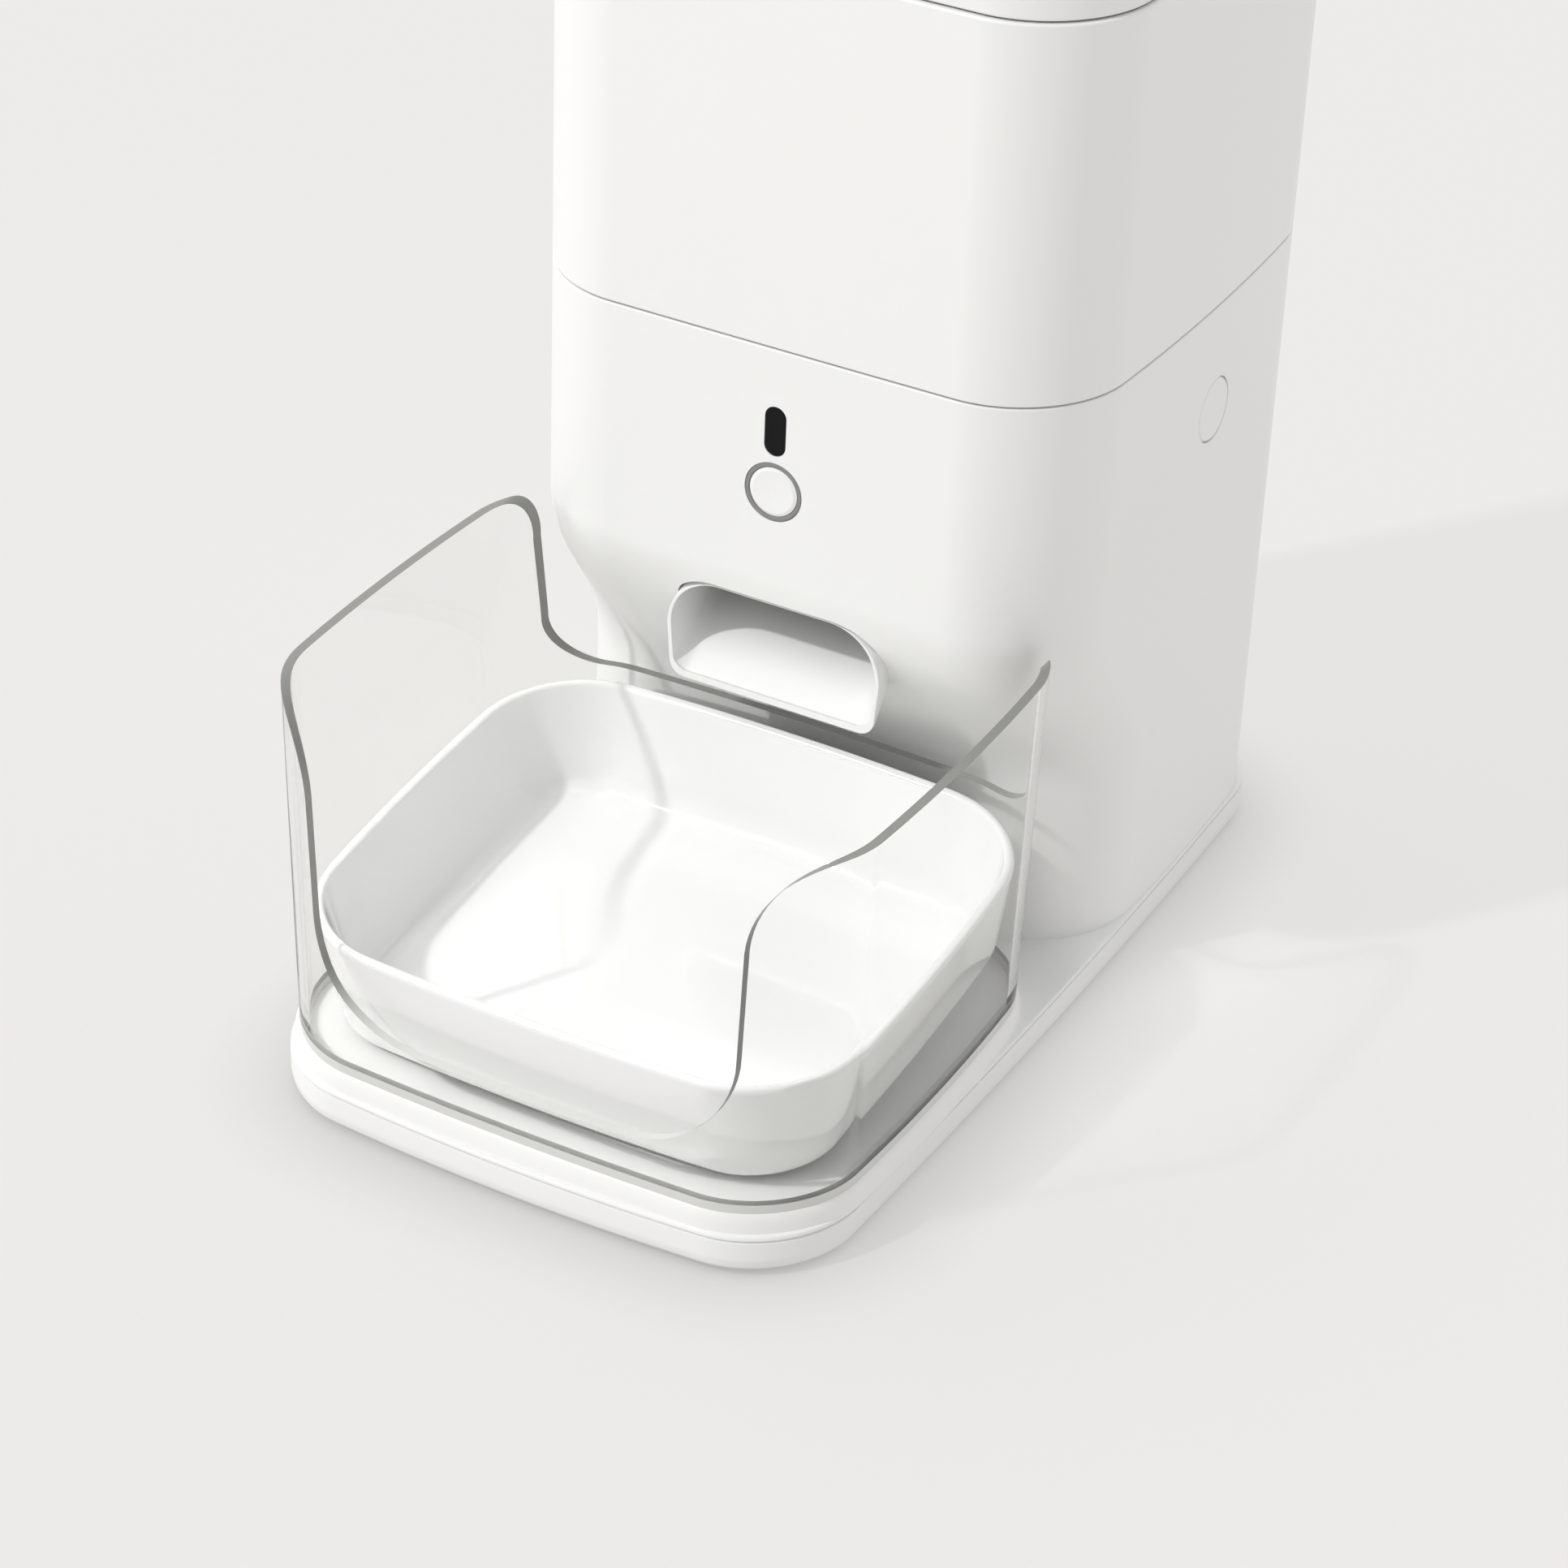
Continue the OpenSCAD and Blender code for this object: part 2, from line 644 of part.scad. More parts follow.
module release_springs() {
    color(steel) for (s = [0, 1]) {
        mirror([s, 0, 0]) translate([guide_x + 0.1, release_y, release_z]) rotate([0, 90, 0])
            coil_spring(stem_r + 1.4, 0.5, cap_x - cap_t - release_travel - guide_x - 0.6, 4);
    }
}
module release_guides() {
    color(white) for (s = [0, 1]) {
        mirror([s, 0, 0]) difference() {
            translate([guide_x - guide_t, release_y - 9, release_z - 9])
                cube([guide_t, 18, seat_z - release_z + 9]);
            translate([guide_x - guide_t - through, release_y, release_z]) rotate([0, 90, 0])
                cylinder(r = stem_r + run_gap, h = guide_t + 2 * through);
        }
    }
}

// ---- tank seat, portion chamber and rotor ----
seat_t = 3;
chamber_wall = 2.5;
chamber_floor = 2.5;
seat_screw_r = chamber_r + chamber_wall + screw_head_r + gap;
flange_r = seat_screw_r + 3.3;
shaft_r = 3;
bushing_r = 6;
seat_screw_a = [45, 135, 225, 315];
rotor_bottom = chamber_z + chamber_floor + 0.8;
shaft_top = seat_z + 2.3;
rotor_h = 27;
hub_r = 10;
paddle_t = 2.4;
arm_r = 2.5;
arm_x = 26;
arm_z = 7;

module tank_seat_plate() {
    slot_x = cap_x - stem_len - release_travel - 1;
    color(white) difference() {
        plan_prism(body_plan(shell_t + seat_gap), seat_z, seat_z + seat_t);
        translate([0, chamber_y, seat_z - 1]) cylinder(r = neck_r, h = seat_t + 2);
        // room for the release tongues, the release caps and the button board
        for (s = [0, 1]) {
            mirror([s, 0, 0]) {
                translate([slot_x, release_y - 5, seat_z - 1])
                    cube([tongue_t + release_travel + 2, 10, seat_t + 2]);
                translate([cap_x - cap_t - 0.9 - release_travel, release_y - release_r - 1, seat_z - 1])
                    cube([20, 2 * release_r + 2, seat_t + 2]);
            }
        }
        translate([-board_half - 2, body_front, seat_z - 1])
            cube([2 * board_half + 4, board_y + 3 - body_front, seat_t + 2]);
        for (a = seat_screw_a) {
            translate([seat_screw_r * cos(a), chamber_y + seat_screw_r * sin(a), seat_z - 1])
                cylinder(r = thread_r + thread_gap, h = seat_t + 2);
        }
    }
}
module seat_plate_screws() {
    color(steel) for (a = seat_screw_a) {
        translate([seat_screw_r * cos(a), chamber_y + seat_screw_r * sin(a), seat_z - 2.5])
            screw(5);
    }
}
module neck_seal() {
    color(rubber) translate([0, chamber_y, seat_z + seat_t]) difference() {
        cylinder(r = neck_r + 6, h = 3);
        translate([0, 0, -1]) cylinder(r = neck_r + neck_t + gap, h = 5);
    }
}
module portion_chamber() {
    top = seat_z;
    color(white) translate([0, chamber_y, 0]) difference() {
        union() {
            translate([0, 0, chamber_z]) cylinder(r = chamber_r + chamber_wall, h = top - chamber_z);
            translate([0, 0, top - 2.5]) cylinder(r = flange_r, h = 2.5);
        }
        translate([0, 0, chamber_z + chamber_floor]) cylinder(r = chamber_r, h = top);
        // outlet over the chute
        intersection() {
            translate([-chute_half + chute_t, chute_in_y - chamber_y + chute_t, chamber_z - 1])
                cube([2 * (chute_half - chute_t), chute_in_d - 2 * chute_t, 6]);
            translate([0, 0, chamber_z - 1]) cylinder(r = chamber_r - 1, h = 6);
        }
        translate([0, 0, chamber_z - 1]) cylinder(r = bushing_r + thread_gap, h = 6);
        for (a = seat_screw_a) {
            rotate([0, 0, a]) translate([seat_screw_r, 0, top - 4]) cylinder(r = thread_r + 0.2, h = 6);
        }
        translate([0, idler_y - chamber_y, chamber_z - 1]) cylinder(r = axle_r + thread_gap, h = 2.5);
    }
}
module portion_baffle() {
    z = rotor_bottom + rotor_h + 1.6;
    color(acetal) translate([0, chamber_y, z]) intersection() {
        cylinder(r = chamber_r - 0.1, h = 1.8);
        translate([-chamber_r, -chamber_r - 1, 0]) cube([2 * chamber_r, chamber_r - 12, 1.8]);
    }
}
module baffle_wiper() {
    z = rotor_bottom + rotor_h + 0.5;
    color(rubber) translate([10.5 - chamber_r, chamber_y - 15, z])
        cube([2 * chamber_r - 21, 2, 1.1]);
}
module rotor_hub() {
    color(acetal) translate([0, chamber_y, rotor_bottom]) difference() {
        cylinder(r = hub_r, h = rotor_h);
        translate([0, 0, -1]) cylinder(r = shaft_r + press_gap, h = rotor_h + 2);
    }
}
module rotor_paddles() {
    color(rubber) translate([0, chamber_y, rotor_bottom]) for (i = [0:paddles - 1]) {
        rotate([0, 0, 360 * (i + 0.5) / paddles]) translate([hub_r + press_gap, -paddle_t / 2, 0])
            cube([chamber_r - hub_r - 0.8, paddle_t, rotor_h]);
    }
}
module rotor_shaft() {
    color(steel) translate([0, chamber_y, gearbox_z + gap])
        cylinder(r = shaft_r, h = shaft_top - gap - gearbox_z);
}
module shaft_bushing() {
    color(acetal) translate([0, chamber_y, chamber_z]) difference() {
        cylinder(r = bushing_r, h = chamber_floor);
        translate([0, 0, -1]) cylinder(r = shaft_r + run_gap, h = chamber_floor + 2);
    }
}
module agitator() {
    z = rotor_bottom + rotor_h + 0.1;
    color(acetal) translate([0, chamber_y, z]) {
        difference() {
            cylinder(r = 7, h = 10);
            translate([0, 0, -1]) cylinder(r = shaft_r + press_gap, h = shaft_top - z + 1);
        }
        // arm: out from the hub, round an elbow, and up into the funnel
        translate([shaft_r + 1, 0, arm_z]) rotate([0, 90, 0])
            cylinder(r = arm_r, h = arm_x - shaft_r - 1, $fn = 32);
        translate([arm_x, 0, arm_z]) sphere(r = arm_r + 0.4, $fn = 32);
        translate([arm_x, 0, arm_z]) rotate([0, 12, 0]) cylinder(r = arm_r, h = 34, $fn = 32);
    }
}

// ---- drive ----
gearbox_z = chamber_z - 22;
gearbox_t = 3;
gear_z = gearbox_z + 6;
gear_t = 6;
axle_r = 2;
idler_y = chamber_y + gear_m * (rotor_teeth + idler_teeth) / 2;
pinion_y = idler_y + gear_m * (idler_teeth + pinion_teeth) / 2;
motor_r = 14;
motor_len = 48;
motor_shaft_r = 1.5;
gear_side = gear_m * rotor_teeth / 2 + 5;
gearbox_back = sqrt(pow(chamber_r + chamber_wall - 4, 2) - pow(gear_side, 2));
gearbox_front = chute_in_y + chute_in_d + 8;
gearbox_post_xy = both_sides([[gear_side, gearbox_front], [gear_side, chamber_y + gearbox_back]]);
idler_turn = 180 / idler_teeth;

module rotor_gear() {
    color(acetal) translate([0, chamber_y, gear_z]) rotate([0, 0, 90])
        spur_gear(rotor_teeth, gear_t, shaft_r + press_gap, 6, 3);
}
module idler_gear() {
    color(acetal) translate([0, idler_y, gear_z]) rotate([0, 0, -90 + idler_turn])
        spur_gear(idler_teeth, gear_t, axle_r + run_gap, 4, 2);
}
module pinion_gear() {
    color("gold") translate([0, pinion_y, gear_z]) rotate([0, 0, -90])
        spur_gear(pinion_teeth, gear_t, motor_shaft_r + press_gap, 3.6, 1);
}
module idler_axle() {
    color(steel) translate([0, idler_y, gearbox_z + 0.5])
        cylinder(r = axle_r, h = chamber_z + 0.5 - gearbox_z);
}
module motor_shaft() {
    color(steel) translate([0, pinion_y, gearbox_z - 10]) cylinder(r = motor_shaft_r, h = 24);
}
module gearbox_plate() {
    y0 = gearbox_front - 4;
    y1 = pinion_y + motor_r + 4;
    color(white) difference() {
        union() {
            translate([-gear_side - 4, y0, gearbox_z]) cube([2 * gear_side + 8, y1 - y0, gearbox_t]);
            for (p = gearbox_post_xy) {
                translate([p.x, p.y, gearbox_z]) cylinder(r = 3.6, h = chamber_z - gearbox_z);
            }
        }
        translate([0, chamber_y, gearbox_z + 0.2]) cylinder(r = shaft_r + run_gap, h = 10);
        translate([0, idler_y, gearbox_z + 0.4]) cylinder(r = axle_r + thread_gap, h = 10);
        translate([0, pinion_y, gearbox_z - 1]) cylinder(r = 4, h = 10);
        for (p = gearbox_post_xy) {
            translate([p.x, p.y, gearbox_z - 1]) cylinder(r = thread_r + thread_gap, h = 14);
        }
    }
}
module gearbox_screws() {
    color(steel) for (p = gearbox_post_xy) {
        translate([p.x, p.y, gearbox_z]) screw(10);
    }
}
module drive_motor() {
    color(steel) translate([0, pinion_y, gearbox_z - motor_len]) difference() {
        union() {
            cylinder(r = motor_r, h = motor_len);
            translate([0, 0, -3]) cylinder(r = 5, h = 4);
        }
        translate([0, 0, motor_len - 10.5]) cylinder(r = motor_shaft_r + run_gap, h = 12);
        translate([0, 0, 8]) difference() {
            cylinder(r = motor_r + 1, h = 1.2);
            translate([0, 0, -1]) cylinder(r = motor_r - 0.6, h = 4);
        }
    }
}

// ---- electronics and batteries ----
module main_board() {
    y = body_back - shell_t - 12;
    color(green) translate([-34, y, rear_z0 + 24]) cube([68, board_t, 52]);
    color(black) {
        translate([-14, y - 2, rear_z0 + 44]) cube([16, 2, 16]);
        translate([10, y - 3, rear_z0 + 34]) cube([10, 3, 8]);
        translate([-28, y - 8, rear_z0 + 30]) cube([8, 8, 12]);
    }
}
module power_socket() {
    y1 = body_back - shell_t - 2.6;
    color(black) difference() {
        translate([socket_x - 6, y1 - 13, socket_z - 6]) cube([12, 13, 12]);
        translate([socket_x, y1 + 1, socket_z]) rotate([90, 0, 0]) difference() {
            cylinder(r = 3.2, h = 11);
            translate([0, 0, -1]) cylinder(r = 1, h = 13, $fn = 24);
        }
    }
}

cell_r = 16.6;
cell_len = 61;
cells = 3;
cell_tip_r = 4.6;
box_t = 2;
box_half = cell_len / 2 + 3.5;
box_y1 = body_back - shell_t - 0.5;
cell_y0 = box_y1 - 3;
cell_step = 2 * cell_r + 0.4;
box_y0 = cell_y0 - cells * cell_step - box_t - 1;
function cell_y(i) = cell_y0 - cell_r - 0.2 - i * cell_step;
box_h = 2 * cell_r + 1 + 2 * box_t;
module battery_box() {
    color(white) difference() {
        translate([-box_half - box_t, box_y0, deck_z])
            cube([2 * (box_half + box_t), box_y1 - box_y0, box_h]);
        translate([-box_half, box_y0 + box_t, deck_z + box_t])
            cube([2 * box_half, box_y1, box_h - 2 * box_t]);
    }
}
module batteries() {
    color("goldenrod") for (i = [0:cells - 1]) {
        translate([0, cell_y(i), deck_z + box_t + cell_r + 0.1]) mirror([i % 2, 0, 0])
            rotate([0, 90, 0]) translate([0, 0, -cell_len / 2]) rotate_extrude()
                polygon([[0, 0], [cell_r - 0.6, 0], [cell_r, 0.6], [cell_r, cell_len - 2.6],
                         [cell_r - 1, cell_len - 1.6], [cell_tip_r, cell_len - 1.6],
                         [cell_tip_r, cell_len], [0, cell_len]]);
    }
}
module battery_contacts() {
    color(steel) for (s = [-1, 1]) {
        for (i = [0:cells - 1]) {
            translate([s * (box_half - 0.5) - 0.4, cell_y(i) - 8, deck_z + box_t + 8])
                cube([0.8, 16, 18]);
        }
    }
}
door_half = box_half - 1;
hinge_r = 1.9;
hinge_pin_r = 1;
door_z0 = deck_z + 5;
door_z1 = deck_z + box_h - 1;
hinge_y = body_back - 2;
module battery_door() {
    color(white) difference() {
        union() {
            translate([-door_half, body_back - 2.4, door_z0])
                cube([2 * door_half, 2.3, door_z1 - door_z0]);
            translate([-door_half, hinge_y, door_z0]) rotate([0, 90, 0])
                cylinder(r = hinge_r, h = 2 * door_half);
        }
        translate([-door_half - through, hinge_y, door_z0]) rotate([0, 90, 0])
            cylinder(r = hinge_pin_r + run_gap, h = 2 * (door_half + through));
        // finger notch
        translate([0, body_back + 6, door_z1 - 4]) rotate([0, 90, 0]) cylinder(r = 7, h = 18, center = true);
    }
}
module door_hinge_pin() {
    half = door_half + 0.2;
    color(steel) translate([-half, hinge_y, door_z0]) rotate([0, 90, 0])
        cylinder(r = hinge_pin_r, h = 2 * half);
}

// ---- tank and lid ----
skirt_h = 14;
neck_t = 2.6;
lid_skirt_h = 11;
lid_skirt_in = shell_t + 3.2;
lid_t = 2.5;
module food_tank() {
    funnel_z = tank_seam_h - 14;
    skirt_out = shell_t + skirt_gap;
    skirt_in = skirt_out + skirt_t;
    c = [0, chamber_y];
    color(white) difference() {
        union() {
            plan_ring(body_plan(0), body_plan(shell_t), tank_z, tank_top);
            // skirt inside the housing, and the shelf that joins it to the wall
            plan_ring(body_plan(skirt_out), body_plan(skirt_in), tank_seam_h - skirt_h, tank_z + 1);
            plan_ring(body_plan(shell_t - 0.5), body_plan(skirt_in + 0.3), tank_z, tank_z + 2);
            loft([at_height(circle_like(body_plan(shell_t), c, neck_r + 2), funnel_z),
                  at_height(body_plan(shell_t - 0.2), funnel_z + funnel_h),
                  at_height(body_plan(shell_t - 0.2), funnel_z + funnel_h + 3)]);
            translate([0, chamber_y, seat_z + seat_t])
                cylinder(r = neck_r + neck_t, h = funnel_z + 1 - seat_z - seat_t);
        }
        loft([at_height(circle_like(body_plan(shell_t), c, neck_r - 0.4), funnel_z - eps),
              at_height(body_plan(shell_t + 0.4), funnel_z + funnel_h + 3),
              at_height(body_plan(shell_t + 0.4), funnel_z + funnel_h + 5)]);
        translate([0, chamber_y, seat_z]) cylinder(r = neck_r, h = funnel_z + 1.5 - seat_z);
        // slots for the release noses
        for (s = [0, 1]) {
            mirror([s, 0, 0]) translate([nose_end - 6.4, release_y - tongue_w / 2 - 2, release_z + 24])
                cube([10, tongue_w + 4, 7]);
        }
    }
}
module tank_lid() {
    color(white) difference() {
        loft([at_height(body_plan(1.6), lid_z),
              at_height(body_plan(1), lid_z + 0.8),
              at_height(body_plan(1), lid_z + lid_h - 6.6),
              at_height(body_plan(1.9), lid_z + lid_h - 3.2),
              at_height(body_plan(4.6), lid_z + lid_h - 1),
              at_height(body_plan(9), lid_z + lid_h)]);
        loft([at_height(body_plan(lid_skirt_in), lid_z - 1),
              at_height(body_plan(lid_skirt_in), lid_z + lid_h - 6.6),
              at_height(body_plan(9), lid_z + lid_h - lid_t)]);
    }
    color(white) plan_ring(body_plan(shell_t + 1), body_plan(lid_skirt_in + 0.2),
                           lid_z - lid_skirt_h, lid_z + 1);
}
module lid_seal() {
    color(rubber) plan_ring(body_plan(shell_t + gap), body_plan(shell_t + 1), lid_z - 7, lid_z - 4.5);
}
module desiccant_case() {
    case_r = 27;
    case_h = 18;
    color(white) translate([0, body_mid, lid_z + lid_h - lid_t - case_h]) difference() {
        cylinder(r = case_r, h = case_h);
        translate([0, 0, 2]) cylinder(r = case_r - 2, h = case_h - 4);
        for (a = [0:45:315]) {
            rotate([0, 0, a]) translate([15, 0, -1]) cylinder(r = 2.5, h = 4, $fn = 24);
        }
    }
}

base_bottom_cover();
base_top_plate();
rubber_feet();
base_screws();
bowl_seat_pad();
food_bowl();
splash_guard();
lower_housing();
rear_cover();
rear_cover_screws();
food_chute();
front_button();
front_button_spring();
light_ring();
sensor_window();
button_board();
button_switch();
proximity_sensors();
release_button_right();
release_button_left();
release_springs();
release_guides();
tank_seat_plate();
seat_plate_screws();
neck_seal();
portion_chamber();
portion_baffle();
baffle_wiper();
rotor_hub();
rotor_paddles();
rotor_shaft();
shaft_bushing();
agitator();
rotor_gear();
idler_gear();
idler_axle();
pinion_gear();
motor_shaft();
gearbox_plate();
gearbox_screws();
drive_motor();
main_board();
power_socket();
battery_box();
batteries();
battery_contacts();
battery_door();
door_hinge_pin();
food_tank();
tank_lid();
lid_seal();
desiccant_case();
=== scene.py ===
import json
import math

import bmesh
import bpy
from mathutils import Matrix, Vector


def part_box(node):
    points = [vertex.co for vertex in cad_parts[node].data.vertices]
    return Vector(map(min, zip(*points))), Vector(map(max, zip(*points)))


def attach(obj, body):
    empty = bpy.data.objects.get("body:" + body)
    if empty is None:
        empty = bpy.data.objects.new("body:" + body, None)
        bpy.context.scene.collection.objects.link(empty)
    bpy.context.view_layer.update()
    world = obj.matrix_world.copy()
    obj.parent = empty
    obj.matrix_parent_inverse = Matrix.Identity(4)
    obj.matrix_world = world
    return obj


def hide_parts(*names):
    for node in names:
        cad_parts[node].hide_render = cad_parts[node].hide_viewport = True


bl_info = {
    "name": "Pet feeder",
    "version": (1, 0, 0),
    "blender": (4, 5, 0),
    "location": "3D View > Sidebar > Feeder",
    "description": "Finished shells, bowl, clear guard and drive of an automatic pet feeder",
    "category": "Object",
}

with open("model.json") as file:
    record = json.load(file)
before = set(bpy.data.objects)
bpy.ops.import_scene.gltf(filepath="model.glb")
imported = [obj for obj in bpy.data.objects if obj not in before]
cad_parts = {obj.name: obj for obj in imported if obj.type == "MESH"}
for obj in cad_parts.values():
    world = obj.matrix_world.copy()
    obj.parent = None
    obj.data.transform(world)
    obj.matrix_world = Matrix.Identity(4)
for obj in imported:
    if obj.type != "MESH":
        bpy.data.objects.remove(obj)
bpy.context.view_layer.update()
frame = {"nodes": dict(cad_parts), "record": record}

MM = 0.001


def mm_box(node):
    """A node's lowest and highest corner, in millimetres."""
    low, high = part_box(node)
    return low / MM, high / MM


# ---- places that the frame gives, in millimetres ----
COVER_LOW, COVER_HIGH = mm_box("base_bottom_cover")
DECK_LOW, _ = mm_box("base_top_plate")
HOUSING_LOW, HOUSING_HIGH = mm_box("lower_housing")
TANK_LOW, TANK_HIGH = mm_box("food_tank")
_, LID_HIGH = mm_box("tank_lid")
GUARD_LOW, GUARD_HIGH = mm_box("splash_guard")
BUTTON_LOW, BUTTON_HIGH = mm_box("front_button")
WINDOW_LOW, WINDOW_HIGH = mm_box("sensor_window")
RELEASE_LOW, RELEASE_HIGH = mm_box("release_button_right")
HUB_LOW, HUB_HIGH = mm_box("rotor_hub")

BASE_HALF = COVER_HIGH.x
BASE_FRONT, BASE_BACK = COVER_LOW.y, COVER_HIGH.y
DECK_SKIRT = 3
SEAM_GAP = 0.6
SEAM_Z = DECK_LOW.z + DECK_SKIRT
DECK_Z = HOUSING_LOW.z
PLATFORM_Z = GUARD_LOW.z
BODY_HALF = TANK_HIGH.x
BODY_FRONT, BODY_BACK = TANK_LOW.y, TANK_HIGH.y
HOUSING_TOP = HOUSING_HIGH.z
TANK_Z = HOUSING_TOP + SEAM_GAP
TANK_TOP = TANK_HIGH.z
LID_Z = TANK_TOP + SEAM_GAP
LID_TOP = LID_HIGH.z
BUTTON_Z = (BUTTON_LOW.z + BUTTON_HIGH.z) / 2
WINDOW_Z = (WINDOW_LOW.z + WINDOW_HIGH.z) / 2
RELEASE_Y = (RELEASE_LOW.y + RELEASE_HIGH.y) / 2
CHAMBER_Y = (HUB_LOW.y + HUB_HIGH.y) / 2

# ---- sizes that stay fixed, in millimetres ----
OVERRUN = 2  # how far a cutting tool starts outside the face it cuts
FIT = 0.3  # room round a piece that sits in an opening

COVER_FLOOR = 2.5
COVER_WALL = 5.5
COVER_RIM = 17
SCREW_R, SCREW_DEPTH = 3.2, 1.6
FOOT_R, FOOT_DEPTH = 8.1, 1

GUARD_SIDE, GUARD_FRONT, GUARD_BACK = 2.3, 3.8, 9
GUARD_R = 33
GUARD_FOOT = 3

BOWL_END_GAP, BOWL_SIDE_GAP = 4.6, 5.2
BOWL_R = 33
BOWL_SHIFT, BOWL_LIFT, BOWL_TOE = 0.5, 0.7, 20
SEAT_HALF, SEAT_MARGIN, SEAT_SINK = 58, 30, 1.5

SETBACK_Z, SETBACK_RISE = 57, 66
MOUTH_HALF, MOUTH_HIGH, MOUTH_SHOULDER, MOUTH_CORNER = 36.5, 35, 17, 5.5
MOUTH_RISE = 21.5
INLET_Y, INLET_D, INLET_HALF, INLET_Z = CHAMBER_Y - 48, 26, 27, 149
CHUTE_TOP = INLET_Z + 1

RING_HOLE_R = 9.6
SPIGOT = 14.3
FUNNEL_RISE = 28.7
SEAL_LAP = 6
LID_LIP = 11
LID_CROWN = 8.6
LID_ROUND = 8.0


# ---- what a user may change ----
def length(name, description, default):
    return bpy.props.FloatProperty(
        name=name, description=description, default=default * MM, unit="LENGTH", precision=4
    )


def colour(name, description, default):
    return bpy.props.FloatVectorProperty(
        name=name, description=description, default=default, subtype="COLOR", size=3, min=0, max=1
    )


class FeederSizes(bpy.types.PropertyGroup):
    """Sizes of the outer pieces"""

    base_r: length("Base corner", "Corner radius of the base", 32)
    body_r: length("Body corner", "Corner radius of the housing and the tank", 35)
    shell_t: length("Shell wall", "Wall of the housing and the tank", 2.5)
    undercut: length("Set-back", "How far the lower front is set back", 33)
    guard_t: length("Guard wall", "Wall of the clear guard", 3)
    guard_flare: length("Guard flare", "How much the guard widens to its top, each side", 3)
    bowl_h: length("Bowl height", "Height of the bowl from foot to rim", 40)
    bowl_t: length("Bowl wall", "Wall of the bowl", 3.6)
    bowl_tilt: bpy.props.FloatProperty(
        name="Bowl tilt",
        description="Forward tilt of the bowl",
        default=math.radians(6.2),
        subtype="ANGLE",
        unit="ROTATION",
    )
    chute_t: length("Chute wall", "Wall of the chute", 2)


class FeederFinishes(bpy.types.PropertyGroup):
    """Colours of the visible pieces"""

    shell: colour("Shell", "Plastic of the base, housing, tank and lid", (0.885, 0.885, 0.873))
    bowl: colour("Bowl", "Glossy bowl", (0.93, 0.93, 0.922))
    guard: colour("Guard", "Tint of the clear guard", (0.965, 0.97, 0.965))
    guard_edge: colour("Guard edge", "Cut edge of the clear guard", (0.25, 0.25, 0.235))
    guard_foot: colour("Guard foot", "Lower edge of the clear guard", (0.68, 0.68, 0.66))
    ring: colour("Light ring", "Frosted ring round the button", (0.24, 0.24, 0.23))
    window: colour("Window", "Dark window of the level sensor", (0.006, 0.006, 0.007))


class FeederStudio(bpy.types.PropertyGroup):
    """Light and floor"""

    floor: colour("Floor", "Colour of the floor", (0.847, 0.831, 0.815))
    key: bpy.props.FloatProperty(
        name="Key light", description="Strength of the key light", default=1.22
    )
    fill: bpy.props.FloatProperty(
        name="Fill light", description="Strength of the light all round", default=0.88
    )


# ---- outlines, in millimetres ----
BASE_BOW = (3.5, 6, 1)
BODY_BOW = (4.7, 0.5, 0.5)
GUARD_BOW = (3.9, 3.6, 3.6)
BOWL_BOW = (3.3, 4.2, 4.2)
ARC_STEPS = 20
SIDE_STEPS = 14
EDGE_STEPS = 4


def outline(box, full, bow, z):
    """A rounded rectangle whose sides bow outwards. box is half width, front, back, radius."""
    half, front, back, r = box
    middle, reach = (full[1] + full[2]) / 2, (full[2] - full[1]) / 2
    centres = (
        (half - r, front + r), (half - r, back - r), (r - half, back - r), (r - half, front + r),
    )
    raw = []
    for turn, (cx, cy) in enumerate(centres):
        for i in range(ARC_STEPS + 1):
            a = math.radians(90 * (turn - 1 + i / ARC_STEPS))
            raw.append((cx + r * math.cos(a), cy + r * math.sin(a)))
        nx, ny = centres[(turn + 1) % 4]
        a = math.radians(90 * turn)
        start = raw[-1]
        end = (nx + r * math.cos(a), ny + r * math.sin(a))
        for i in range(1, SIDE_STEPS):
            k = i / SIDE_STEPS
            raw.append((start[0] + (end[0] - start[0]) * k, start[1] + (end[1] - start[1]) * k))
    ring = []
    for x, y in raw:
        v, u = (y - middle) / reach, x / full[0]
        ring.append(
            Vector(
                (
                    x - math.copysign(bow[0] * v * v * abs(u), x),
                    y + bow[1] * u * u * max(0, -v) - bow[2] * u * u * max(0, v),
                    z,
                )
            )
        )
    return ring


def inset(box, t):
    """A box drawn in by t on every side."""
    return (box[0] - t, box[1] + t, box[2] - t, max(box[3] - t, 1))


def round_edge(t, z, r, up=True):
    """(inset, height) pairs of a rounded upper or lower outer edge that ends at height z."""
    pairs = []
    for i in range(EDGE_STEPS + 1):
        a = math.radians(90 * i / EDGE_STEPS)
        drop = r * (math.sin(a) - 1) if up else r * (1 - math.sin(a))
        pairs.append((t + r * (1 - math.cos(a)), z + drop))
    return pairs if up else pairs[::-1]


def smooth_step(t):
    t = min(1, max(0, t))
    return t * t * (3 - 2 * t)


